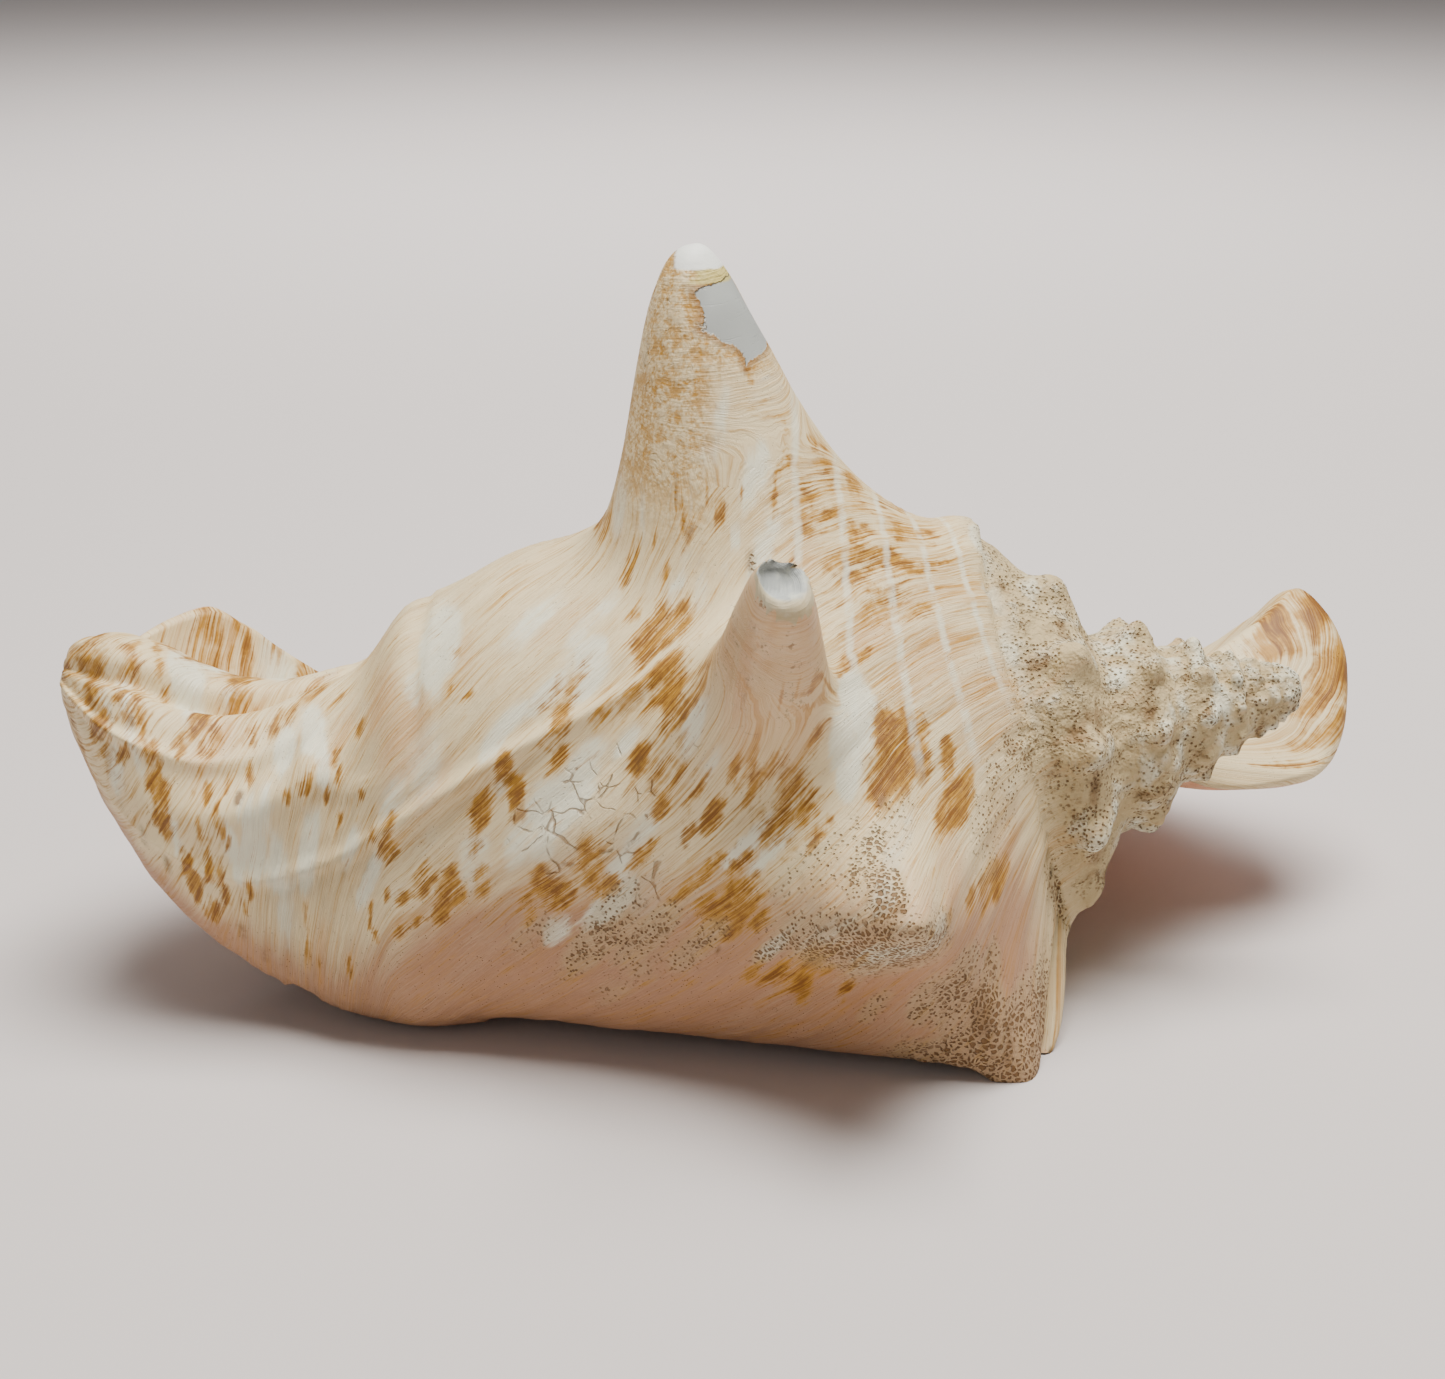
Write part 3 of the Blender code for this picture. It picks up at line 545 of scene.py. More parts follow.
class ShellColours(bpy.types.PropertyGroup):
    """Colours of the shell's layers."""

    cream: colour_setting("Cream", "Ground colour of the outer layer", (0.78, 0.64, 0.38))
    # Peach is the shell's pink tint and also the colour of painted shade on the pinkish marks.
    peach_and_shade: colour_setting("Peach", "Pinkish tint of the smooth, unfaded places", (0.62, 0.35, 0.17))
    chalk: colour_setting("Chalk", "White of the worn, chalky places", (0.80, 0.80, 0.64))
    tan: colour_setting("Tan", "Orange-tan of the markings", (0.46, 0.22, 0.014))
    ochre: colour_setting("Ochre", "Darkest colour of the markings", (0.20, 0.070, 0.001))
    spire: colour_setting("Spire", "Grey-beige of the eroded spire", (0.50, 0.39, 0.21))
    bone: colour_setting("Bone", "Cool grey-white of the bare inner layer", (0.40, 0.42, 0.40))
    grime: colour_setting("Grime", "Brown-grey that has settled in pits and cracks", (0.16, 0.075, 0.02))
    # Callus is also one of the two colours of the painted shade under the near spine.
    callus: colour_setting("Callus", "Smooth pinkish tan under the lip", (0.66, 0.43, 0.28))
    # Blush is partly the low side's own unbleached colour and partly painted shade of that side.
    blush_and_shade: colour_setting("Blush", "Brownish pink of the low side", (0.42, 0.225, 0.135))
    inside: colour_setting("Inside", "Glossy pink of the opening", (0.82, 0.36, 0.20))
    stain: colour_setting("Stain", "Yellow stain under the crown spine's cap", (0.60, 0.50, 0.16))
    cap: colour_setting("Cap", "White cap of the crown spine", (0.86, 0.87, 0.81))


class ShellSizes(bpy.types.PropertyGroup):
    """Heights of the shell's fine relief."""

    growth_height: height_setting("Growth lines", "Height of the fine growth lines", 0.00016, 0.001)
    fold_height: height_setting("Growth folds", "Height of the folds between growth pauses", 0.00035, 0.001)
    pore_depth: height_setting("Pores", "Depth of the small pores", 0.0007, 0.002)
    erosion: height_setting("Erosion", "Height of the lumps that wear has left on the spire", 0.0006, 0.002)
    groove_depth: height_setting("Grooves", "Depth of the branching grooves", 0.0004, 0.002)
    chip_depth: height_setting("Chip", "Thickness of the layer flaked off the crown spine", 0.0006, 0.002)
    crater_depth: height_setting("Hollow tip", "Depth of the hollow in the near spine's tip", 0.0028, 0.004)


class StageSettings(bpy.types.PropertyGroup):
    """Floor and lamps round the shell."""

    floor_colour: bpy.props.FloatVectorProperty(
        name="Floor", description="Colour of the plain floor", subtype="COLOR", size=3,
        default=(0.62, 0.575, 0.56), min=0.0, max=1.0)
    lamp_power: bpy.props.FloatProperty(
        name="Lamp", description="Power of the large overhead lamp", unit="POWER", default=28.5, min=0.0)
    room_light: bpy.props.FloatProperty(
        name="Room light", description="Strength of the even light from all sides", default=0.21, min=0.0)


# Marks read off the photo, in its pixels: across, down, reach along the growth lines, reach across
# them, and a strength where it isn't 1
TAN_MARKS = [
    (672, 300, 10, 12, 0.9), (690, 308, 8, 12, 0.8), (660, 350, 10, 20, 0.8), (700, 348, 18, 7, 0.9),
    (724, 354, 14, 4, 1.1), (748, 372, 5, 6, 0.9), (650, 400, 10, 22, 0.7), (640, 440, 8, 22, 0.7),
    (690, 375, 18, 9, 0.7), (668, 265, 6, 8, 0.6), (655, 300, 5, 10, 0.5), (602, 522, 12, 8),
    (627, 573, 16, 9), (633, 612, 14, 5, 1.1), (608, 529, 14, 8), (674, 482, 10, 11, 1.1),
    (678, 505, 10, 12), (687, 526, 11, 13), (690, 542, 10, 9), (705, 479, 8, 7, 1.1), (719, 502, 14, 7),
    (739, 501, 12, 4), (722, 526, 16, 10), (653, 536, 9, 5), (641, 546, 6, 4), (663, 567, 8, 8),
    (786, 424, 5, 4), (791, 454, 10, 7, 0.8), (808, 493, 13, 12, 0.8), (778, 501, 7, 5, 0.8),
    (775, 486, 7, 3, 0.8), (808, 523, 10, 9, 0.9), (831, 480, 10, 22, 0.6), (831, 514, 11, 9, 0.8),
    (853, 479, 10, 9), (863, 505, 10, 6, 0.6), (859, 529, 12, 7, 0.9), (896, 527, 12, 9),
    (887, 495, 12, 9, 0.7), (902, 505, 9, 6, 0.7), (928, 537, 10, 9, 0.7), (849, 553, 22, 10, 0.9),
    (890, 556, 10, 9), (908, 567, 10, 10, 0.9), (925, 568, 9, 6), (811, 441, 6, 6, 0.9),
    (884, 605, 26, 14, 0.75), (922, 608, 14, 10, 0.8), (855, 582, 18, 12, 0.7), (662, 634, 13, 18),
    (677, 622, 14, 12), (645, 648, 16, 14), (662, 678, 22, 15, 1.1), (674, 695, 18, 14, 1.1),
    (633, 695, 20, 12, 0.9), (604, 713, 16, 8), (677, 706, 10, 8), (560, 722, 12, 12), (562, 754, 9, 9),
    (556, 766, 10, 8), (545, 745, 9, 7, 0.8), (504, 766, 9, 11, 1.3), (518, 789, 8, 10, 1.3),
    (518, 807, 8, 10, 1.2), (480, 812, 11, 15, 1.35), (639, 763, 13, 11, 1.35), (665, 804, 11, 10, 1.1),
    (677, 751, 14, 6, 0.9), (715, 816, 15, 11, 1.3), (736, 778, 10, 12), (753, 792, 12, 12, 1.1),
    (756, 763, 10, 10), (677, 786, 14, 5, 0.9), (592, 869, 11, 13), (583, 845, 10, 10, 0.8),
    (545, 886, 11, 15, 1.1), (609, 889, 12, 9), (645, 857, 16, 6), (692, 836, 10, 9, 0.9),
    (718, 869, 22, 5), (745, 872, 20, 5), (698, 889, 26, 6, 0.9), (483, 881, 8, 16, 0.9),
    (453, 881, 9, 12, 0.9), (424, 878, 10, 9, 0.9), (389, 825, 9, 9), (386, 848, 9, 10, 1.1),
    (463, 652, 8, 3), (467, 695, 8, 4), (455, 687, 5, 4), (513, 775, 6, 6), (371, 837, 8, 6, 0.8),
    (390, 850, 9, 7, 1.1), (355, 825, 6, 6, 0.8), (336, 821, 9, 4, 1.1), (325, 798, 7, 5, 1.1),
    (305, 783, 14, 5, 1.2), (286, 798, 9, 4, 1.2), (298, 791, 8, 4), (251, 775, 7, 8),
    (228, 787, 5, 8, 0.9), (336, 757, 9, 5, 1.2), (340, 775, 6, 7, 1.2), (363, 795, 10, 3, 1.2),
    (205, 795, 8, 9), (213, 820, 8, 14, 1.1), (199, 828, 7, 12), (221, 838, 7, 11, 1.1),
    (209, 868, 7, 14, 1.1), (225, 888, 6, 14, 1.2), (190, 880, 7, 26, 1.2), (251, 892, 5, 14, 1.3),
    (243, 908, 9, 4, 1.2), (214, 912, 6, 10, 1.2), (150, 755, 11, 16, 1.1), (152, 778, 11, 14, 1.1),
    (156, 800, 10, 16, 1.2), (160, 823, 8, 18, 1.2), (121, 756, 8, 6), (138, 714, 3, 34, 1.1),
    (159, 656, 4, 18, 0.9), (196, 721, 14, 12, 1.1), (213, 739, 16, 10), (182, 748, 8, 12, 1.1),
    (255, 731, 12, 7, 1.1), (278, 721, 14, 7), (291, 713, 10, 6, 0.9), (236, 721, 10, 7, 0.8),
    (317, 691, 16, 5), (334, 701, 16, 4, 0.9), (309, 687, 12, 4), (356, 729, 9, 6, 1.1), (232, 660, 9, 6),
    (244, 664, 8, 5), (428, 887, 14, 8, 0.9), (448, 890, 12, 14), (442, 914, 9, 9, 1.2),
    (459, 898, 9, 7, 1.1), (405, 900, 7, 5, 1.3), (371, 910, 6, 5, 1.3), (367, 926, 5, 5, 1.5),
    (378, 941, 5, 4, 1.4), (398, 933, 7, 6, 1.1), (417, 925, 6, 4, 1.3), (346, 971, 7, 8, 1.2),
    (309, 952, 12, 14, 0.75), (317, 972, 10, 12, 0.75), (302, 921, 12, 8, 0.7), (475, 850, 7, 24, 0.7),
    (540, 887, 11, 14, 1.2), (560, 900, 12, 14, 1.2), (525, 910, 8, 14, 0.8), (384, 897, 6, 5, 1.1),
    (906, 745, 18, 30, 1.2), (890, 740, 14, 22, 1.2), (920, 748, 12, 28, 1.2), (882, 790, 12, 14, 1.1),
    (949, 760, 8, 20, 0.9), (962, 806, 16, 18, 1.3), (948, 822, 9, 10, 1.1), (793, 786, 20, 13, 1.1),
    (770, 772, 16, 10), (812, 806, 18, 12), (785, 828, 18, 9, 0.9), (827, 834, 16, 6, 0.9),
    (739, 792, 10, 8), (698, 790, 16, 7, 0.9), (660, 806, 8, 8), (852, 663, 16, 6, 1.1),
    (822, 681, 12, 5, 1.2), (800, 692, 12, 5, 1.2), (782, 702, 9, 6, 1.2), (770, 712, 10, 4),
    (877, 560, 14, 8, 0.9), (935, 563, 20, 2, 1.1), (760, 640, 6, 30, 0.5), (727, 913, 18, 10, 1.1),
    (743, 930, 15, 10, 1.1), (768, 925, 16, 8), (706, 905, 12, 8, 0.8), (781, 980, 16, 6, 1.2),
    (808, 988, 12, 9, 1.2), (756, 976, 12, 5), (806, 1000, 8, 8), (852, 990, 9, 6, 1.1), (877, 965, 9, 4),
    (835, 972, 10, 4, 0.9), (1002, 884, 10, 14, 1.2), (1008, 872, 8, 10), (993, 905, 8, 10),
    (993, 932, 5, 9, 1.1), (972, 942, 5, 4, 1.1), (585, 859, 9, 9), (564, 901, 9, 10), (606, 890, 11, 9),
    (644, 862, 14, 5), (970, 780, 7, 16, 0.8), (1016, 690, 8, 12, 0.4), (790, 560, 10, 5, 0.6)]
CHALK_MARKS = [
    (620, 505, 16, 12), (637, 514, 10, 12), (692, 500, 5, 16, 0.9), (752, 470, 22, 16),
    (722, 411, 22, 14, 0.8), (700, 440, 14, 16, 0.7), (766, 535, 26, 12, 0.9), (735, 552, 18, 8, 0.9),
    (680, 585, 22, 8, 0.6), (448, 640, 18, 22, 1.1), (435, 660, 12, 26, 1.1), (527, 628, 30, 12, 0.8),
    (506, 728, 24, 8, 1.2), (490, 748, 14, 8, 1.1), (592, 657, 16, 10), (590, 680, 20, 10, 0.9),
    (545, 801, 20, 14, 0.9), (586, 766, 22, 14, 0.9), (630, 742, 16, 8, 0.9), (697, 722, 16, 12, 1.1),
    (690, 745, 16, 9, 0.8), (751, 851, 26, 7, 1.3), (775, 858, 26, 6, 1.3), (645, 828, 22, 12, 0.8),
    (556, 825, 20, 16), (520, 850, 16, 18, 0.8), (550, 690, 26, 10, 0.8), (600, 610, 30, 9, 0.7),
    (580, 640, 20, 8, 0.7), (309, 733, 14, 20, 1.2), (286, 752, 16, 16, 1.1), (318, 760, 9, 22, 1.2),
    (255, 840, 22, 22, 1.1), (309, 852, 30, 16, 1.1), (278, 870, 24, 16, 1.1), (367, 877, 22, 9, 1.2),
    (128, 714, 6, 40, 0.9), (182, 668, 12, 30, 1.1), (232, 855, 12, 24), (390, 800, 20, 12, 0.7),
    (286, 906, 26, 16, 0.8), (425, 760, 22, 26, 0.6), (475, 855, 16, 20, 0.7), (100, 690, 5, 40, 0.5),
    (112, 770, 8, 20, 0.8), (172, 840, 5, 30, 0.7), (350, 850, 22, 12), (260, 810, 16, 14, 0.9),
    (236, 810, 10, 10, 0.6), (852, 767, 12, 26, 1.2), (864, 713, 10, 24, 1.2), (850, 690, 10, 20, 1.1),
    (844, 740, 12, 22), (1031, 690, 8, 36, 1.2), (1002, 600, 12, 12, 1.3), (980, 540, 12, 14, 1.2),
    (990, 560, 8, 12), (910, 835, 24, 20, 0.6), (1015, 640, 10, 20, 0.9), (620, 900, 18, 14),
    (600, 915, 18, 10), (560, 930, 16, 14, 0.9), (785, 949, 20, 8, 0.9), (230, 690, 8, 10, 0.8),
    (700, 590, 12, 10, 0.5), (640, 770, 6, 20, 0.3), (905, 905, 14, 16, 0.6), (1010, 1050, 20, 22, 0.35),
    (620, 870, 18, 12, 0.7), (690, 830, 14, 12, 0.7), (715, 770, 14, 9, 0.6), (575, 800, 18, 12, 0.8),
    (500, 790, 6, 10, 0.8), (415, 690, 8, 20, 0.6), (540, 850, 16, 12, 0.8)]
# Pinkish marks, partly the shell's own pink tint and partly painted shade: the shadow cast by the near spine,
# the shaded middle of the near side and the lower body by the floor.
PINK_AND_SHADE_MARKS = [
    (745, 690, 26, 34), (722, 655, 14, 26, 0.8), (770, 640, 18, 18, 0.6), (800, 745, 30, 22, 0.7),
    (700, 1000, 60, 26, 0.8), (600, 1005, 60, 24, 0.7), (860, 960, 60, 14), (900, 985, 50, 20, 0.9),
    (500, 1000, 50, 24, 0.6), (400, 740, 30, 34), (380, 700, 24, 26, 0.9), (430, 780, 24, 20, 0.7),
    (340, 735, 18, 12, 0.6), (320, 960, 24, 18, 0.7), (760, 960, 30, 12, 0.8), (930, 600, 40, 30, 0.5),
    (980, 690, 30, 40, 0.7), (930, 665, 40, 26, 0.7), (870, 640, 26, 22, 0.8), (820, 600, 20, 24, 0.8),
    (1000, 700, 24, 40, 0.6), (1010, 830, 20, 30, 0.6), (970, 870, 20, 30, 0.7), (1080, 840, 16, 30, 0.6),
    (560, 620, 30, 10, 0.6), (470, 650, 10, 20, 0.4), (210, 745, 30, 24, 0.7), (540, 960, 40, 20, 0.6),
    (660, 960, 40, 14, 0.7), (1060, 990, 20, 40, 0.4), (620, 540, 10, 20, 0.4), (440, 960, 30, 20, 0.6),
    (460, 930, 20, 20, 0.5), (740, 740, 20, 20, 0.6), (800, 560, 20, 20, 0.5)]
PIT_MARKS = [
    (600, 942, 40, 16), (650, 935, 36, 14), (700, 952, 32, 14, 0.9), (580, 962, 34, 14, 0.7),
    (620, 902, 26, 12, 0.8), (905, 902, 20, 22, 1.5), (925, 912, 12, 14, 1.6), (878, 872, 26, 24, 1.1),
    (850, 850, 34, 20, 0.8), (810, 878, 34, 16, 0.7), (890, 930, 26, 10), (985, 1030, 26, 26, 1.4),
    (1012, 1050, 16, 24, 1.6), (960, 990, 28, 22, 1.1), (992, 975, 20, 24), (930, 1002, 22, 16, 0.9),
    (1014, 748, 14, 14, 1.1), (1030, 760, 12, 16, 1.1), (1000, 790, 22, 30, 0.7), (1056, 897, 12, 12, 1.2),
    (785, 949, 26, 8, 1.1), (877, 1013, 20, 10, 0.7), (905, 820, 34, 30, 0.7), (990, 840, 20, 40, 0.6),
    (1060, 830, 20, 40, 0.5), (640, 972, 60, 14, 0.5), (1035, 730, 20, 26, 0.8), (535, 940, 26, 16, 0.6),
    (752, 572, 5, 8, 1.5)]
GROOVE_MARKS = [
    (525, 832, 16, 18, 0.9), (545, 840, 18, 18, 1.1), (570, 788, 22, 20, 0.8), (600, 802, 22, 18, 1.1),
    (640, 815, 18, 16, 1.1), (620, 846, 18, 16, 1.2), (560, 866, 16, 14, 1.1), (650, 900, 14, 10),
    (655, 880, 14, 10), (610, 765, 16, 12, 0.8), (700, 750, 12, 12, 0.5), (690, 850, 16, 10, 0.5),
    (665, 330, 12, 26), (650, 370, 12, 26, 1.1), (660, 400, 16, 24, 1.1), (645, 430, 12, 24, 0.9),
    (655, 455, 16, 16, 0.8), (690, 345, 10, 12, 0.9), (640, 470, 9, 16, 0.8), (930, 700, 14, 22, 0.6),
    (580, 820, 18, 16)]
DARK_MARKS = [
    (905, 905, 10, 12, 0.8), (925, 918, 8, 8, 0.8), (1005, 1045, 12, 16, 0.7), (985, 1025, 14, 14, 0.5),
    (641, 764, 6, 5), (793, 786, 20, 12, 0.4), (235, 797, 7, 3, 1.6), (128, 724, 2, 10, 0.9),
    (745, 700, 18, 1, 0.8), (92, 660, 6, 30, 0.35), (1014, 748, 5, 6, 0.8), (1030, 762, 6, 8, 0.5),
    (1056, 900, 8, 7, 0.6), (165, 868, 3, 6, 0.9), (240, 933, 3, 8, 0.8), (262, 958, 3, 9, 0.6),
    (140, 838, 2, 8, 0.7), (85, 680, 4, 40, 0.5), (1000, 560, 6, 4, 0.9), (723, 955, 3, 2, 1.2),
    (100, 650, 4, 20, 0.3), (1060, 640, 5, 12, 0.3), (750, 570, 4, 8)]

# Larger blotches: place in the photo's pixels, reach along and across the growth lines in mm, strength
TAN_BLOTCHES = [
    (897, 765, 4.2, 4.6, 1.25), (790, 800, 4.2, 5, 0.62), (745, 905, 3.6, 3.2, 1.1),
    (810, 975, 3.2, 2.4, 0.8), (952, 812, 2.4, 2.2, 0.9), (996, 885, 2, 2.6, 0.9), (592, 862, 3.4, 3, 0.9),
    (660, 780, 4, 3.2, 0.6), (560, 700, 4.2, 2.6, 0.55), (690, 700, 3.5, 3, 0.8), (60, 660, 5, 8, 0.8),
    (75, 740, 5, 8, 0.7), (130, 690, 3, 5, 0.7), (1276, 634, 1.6, 1.8, 1.3), (1317, 612, 1, 2.2, 1.2),
    (1349, 665, 0.8, 2.6, 1.2), (1341, 725, 1, 1.8, 1.1), (1328, 700, 0.6, 1.6, 1.1),
    (1286, 765, 0.7, 0.9, 1.1), (1300, 640, 0.8, 1.4, 1), (1330, 655, 0.5, 1.6, 1)]

# Blotches at the canal's tip: axis place in mm, angle in degrees, the two reaches in mm, strength
CANAL_BLOTCHES = [
    (-110, -25, 3, 6, 0.75), (-108, -60, 3, 6, 0.75), (-112, 0, 3, 5, 0.7)]

# Edge of the flaked patch on the crown spine: along the axis and height in mm
CHIP_EDGE = [(-5.4, 129.2), (-3.6, 127.2), (-3.2, 125.4), (-4.2, 123.2), (-1.4, 121.9), (0.2, 120.9),
             (2.2, 120.3), (3.2, 119.2), (3.9, 116.6), (5.0, 117.6), (7.6, 118.6), (8.2, 122.0),
             (6.0, 129.6), (1.0, 130.4)]
CAP_HEIGHT = 131.5
STAIN_HEIGHT = 129.4
CUT_FACING = (0.42, -0.66, 0.62)
CUT_BACK = 4.2
CRATER_RADIUS = 5.4
PATCH_GROWTH = 1.45

# Search for the skin behind a place in the photo: two search circles in pixels, depth in mm behind the
# nearest point, least pixels to a mm and greatest reach of a mark in mm
NEAR_CIRCLE = 14.0
WIDE_CIRCLE = 40.0
NEAR_DEPTH = 12.0
LEAST_SLOPE = 0.5
LARGEST_REACH = 30.0

LINE_SPINES = (0, 2)
FAR_PLACES = (-100.0, 46.0)
FAR_ANGLES = (18.0, 150.0)
BAND_START = 20.7
BAND_SPACING = 7.9
BAND_TWIST = 0.007
GROWTH_RATE = 0.785
CANAL_RATE = 0.155


class Wire:
    """A socket's value in a shader, with the usual arithmetic as Math nodes."""

    def __init__(self, bench, socket):
        self.bench = bench
        self.socket = socket

    def math(self, kind, *others, clamp=False):
        return self.bench.make("ShaderNodeMath", {"operation": kind, "use_clamp": clamp}, self, *others)

    def __add__(self, other):
        return self.math("ADD", other)

    def __radd__(self, other):
        return self.bench.make("ShaderNodeMath", {"operation": "ADD"}, other, self)

    def __sub__(self, other):
        return self.math("SUBTRACT", other)

    def __rsub__(self, other):
        return self.bench.make("ShaderNodeMath", {"operation": "SUBTRACT"}, other, self)

    def __mul__(self, other):
        return self.math("MULTIPLY", other)

    def __rmul__(self, other):
        return self.bench.make("ShaderNodeMath", {"operation": "MULTIPLY"}, other, self)

    def __truediv__(self, other):
        return self.math("DIVIDE", other)

    def at_least(self, other):
        return self.math("MAXIMUM", other)

    def held(self):
        return self.math("ADD", 0.0, clamp=True)

    def size(self):
        return self.math("ABSOLUTE")

    def part(self):
        return self.math("FRACT")

    def step(self, low, high):
        """Smooth step of this value from low to high."""
        made = self.bench.node("ShaderNodeMapRange", {"interpolation_type": "SMOOTHSTEP"})
        self.bench.feed(made.inputs["Value"], self)
        self.bench.feed(made.inputs["From Min"], low)
        self.bench.feed(made.inputs["From Max"], high)
        return Wire(self.bench, made.outputs["Result"])


class Bench:
    """A material's node tree, with one method that makes any node."""

    def __init__(self, name):
        self.material = bpy.data.materials.new(name)
        self.material.use_nodes = True
        self.tree = self.material.node_tree
        self.shader = self.tree.nodes["Principled BSDF"]

    def feed(self, socket, value):
        if isinstance(value, Wire):
            self.tree.links.new(value.socket, socket)
        elif socket.type == "RGBA" and len(value) == 3:
            socket.default_value = (*value, 1.0)
        else:
            socket.default_value = value

    def node(self, kind, settings=None):
        made = self.tree.nodes.new(kind)
        for key, value in (settings or {}).items():
            setattr(made, key, value)
        return made

    def make(self, kind, settings, *values, out=0, **named):
        """Node of any type: its settings, then its inputs in order or by name; gives one output."""
        made = self.node(kind, settings)
        for socket, value in zip(made.inputs, values):
            self.feed(socket, value)
        for key, value in named.items():
            self.feed(made.inputs[key.replace("_", " ")], value)
        return Wire(self, made.outputs[out])

    def attribute(self, name, out="Fac"):
        settings = {"attribute_name": name, "attribute_type": "GEOMETRY"}
        return self.make("ShaderNodeAttribute", settings, out=out)

    def mix(self, share, first, second):
        """Colour between two colours."""
        made = self.node("ShaderNodeMix", {"data_type": "RGBA"})
        self.feed(made.inputs[0], share)
        self.feed(made.inputs[6], first)
        self.feed(made.inputs[7], second)
        return Wire(self, made.outputs[2])

    def scaled(self, vector, scale, shift=(0, 0, 0)):
        """Vector times a scale of its own on each axis."""
        return self.make("ShaderNodeMapping", {"vector_type": "POINT"}, vector, Scale=scale, Location=shift)

    def moved(self, vector, by, amount):
        """Vector plus an amount of another one."""
        part = self.make("ShaderNodeVectorMath", {"operation": "SCALE"}, by, Scale=amount)
        return self.make("ShaderNodeVectorMath", {"operation": "ADD"}, vector, part)

    def noise(self, vector, scale, detail=3.0, rough=0.55, out=0):
        return self.make("ShaderNodeTexNoise", {}, Vector=vector, Scale=scale, Detail=detail,
                         Roughness=rough, Distortion=0.0, out=out)

    def cells(self, vector, scale, feature="F1"):
        return self.make("ShaderNodeTexVoronoi", {"feature": feature}, Vector=vector, Scale=scale,
                         Randomness=1.0)


def growth_places(x, angle):
    """Place across the growth lines and place across the spiral bands, both in mm: sums of the axis place and
    the angle, which counts for less on the canal, where the lines run almost round it."""
    rate = GROWTH_RATE + (CANAL_RATE - GROWTH_RATE) * ease(55, 85, -x)
    return rate * angle - 0.92 * x, x + 0.124 * angle


class PhotoPlaces:
    """Finds what part of the skin lies behind a place in the photo, through the camera that took it."""

    def __init__(self, skin):
        outside = slice(0, skin.ring.stop)
        points = skin.points[:, outside]
        tilt = np.radians(PHOTO_TILT)
        back = np.array([0, -np.cos(tilt), np.sin(tilt)])
        up = np.array([0, np.sin(tilt), np.cos(tilt)])
        offset = points - (np.array(PHOTO_AIM) + PHOTO_DISTANCE * back)
        focal = PHOTO_SIZE[0] / 2 / np.tan(np.radians(PHOTO_FIELD / 2))
        self.depth = -(offset @ back)
        across = PHOTO_SIZE[0] / 2 + focal * offset[..., 0] / self.depth
        down = PHOTO_SIZE[1] / 2 - focal * (offset @ up) / self.depth
        self.pixel = np.stack([across, down], -1)
        normal = np.cross(np.gradient(points, axis=0), np.gradient(points, axis=1))
        self.facing = (normal * offset).sum(-1) < 0
        self.x = np.repeat(skin.x[:, None], points.shape[1], axis=1)
        self.angle = skin.angle[:, outside]
        self.lines = np.stack(growth_places(self.x, self.angle), -1)

    def behind(self, place):
        """Grid index of the skin point nearest to a place in the photo, among those that face the camera."""
        away = np.linalg.norm(self.pixel - place, axis=-1)
        close = self.facing & (away < NEAR_CIRCLE)
        if not close.any():
            close = self.facing & (away < WIDE_CIRCLE)
        depth = np.where(close, self.depth, np.inf)
        close &= depth < depth.min() + NEAR_DEPTH
        return np.unravel_index(np.where(close, away, np.inf).argmin(), away.shape)

    def slopes(self, i, j):
        """Photo pixels to a mm across the growth lines and to a mm along them: the grid's differences in the
        photo times the inverse of its differences in growth and spiral place."""
        rows = [max(i - 1, 0), min(i + 1, self.x.shape[0] - 1)]
        columns = [max(j - 1, 0), min(j + 1, self.x.shape[1] - 1)]
        steps = [np.stack([grid[rows[1], j] - grid[rows[0], j], grid[i, columns[1]] - grid[i, columns[0]]], 1)
                 for grid in (self.pixel, self.lines)]
        return np.linalg.norm(steps[0] @ np.linalg.pinv(steps[1]), axis=0)

    def blotches(self, table):
        """Rows of axis place, angle, reaches in mm and strength for blotches placed in the photo."""
        rows = []
        for across, down, *rest in table:
            index = self.behind((across, down))
            rows.append((round(self.x[index], 1), round(self.angle[index], 1), *rest))
        return rows

    def marks(self, table):
        """The same rows for marks whose reaches too are in the photo's pixels; all are rounded to a tenth."""
        rows = []
        for across, down, along, wide, *strength in table:
            index = self.behind((across, down))
            slope = np.maximum(self.slopes(*index), LEAST_SLOPE)
            reaches = [min(along / slope[1], LARGEST_REACH), min(wide / slope[0], LARGEST_REACH)]
            row = [round(float(value), 1) for value in (self.x[index], self.angle[index], *reaches)]
            rows.append((*row, strength[0] if strength else 1.0))
        return rows


def patches(table, x, angle):
    """Largest of several soft ovals: exp of minus the fourth power of the distance, measured along and across
    the growth lines."""
    growth, spiral = growth_places(x, angle)
    total = np.zeros(x.shape)
    for place, at, along, across, strength in table:
        own_growth, own_spiral = growth_places(np.float64(place), np.float64(at))
        away = np.hypot((growth - own_growth) / across, (spiral - own_spiral) / along) / PATCH_GROWTH
        total = np.maximum(total, strength * np.exp(-away ** 4))
    return total


def strewn(count, seed, along, across, strength):
    """Rows of axis place, angle, reaches and strength, strewn evenly over the far side from a fixed seed;
    each is drawn between its two limits."""
    draw = np.random.default_rng(seed)
    place = draw.uniform(*FAR_PLACES, count)
    at = draw.uniform(*FAR_ANGLES, count)
    return list(zip(place, at, draw.uniform(*along, count), draw.uniform(*across, count),
                    draw.uniform(*strength, count)))


def spot(x, angle, place, at, reach, turn, power=2.0):
    """Soft round spot on the skin: exp of minus a power of the elliptic distance."""
    away = np.hypot((x - place) / reach, (angle - at) / turn)
    return np.exp(-away ** power)


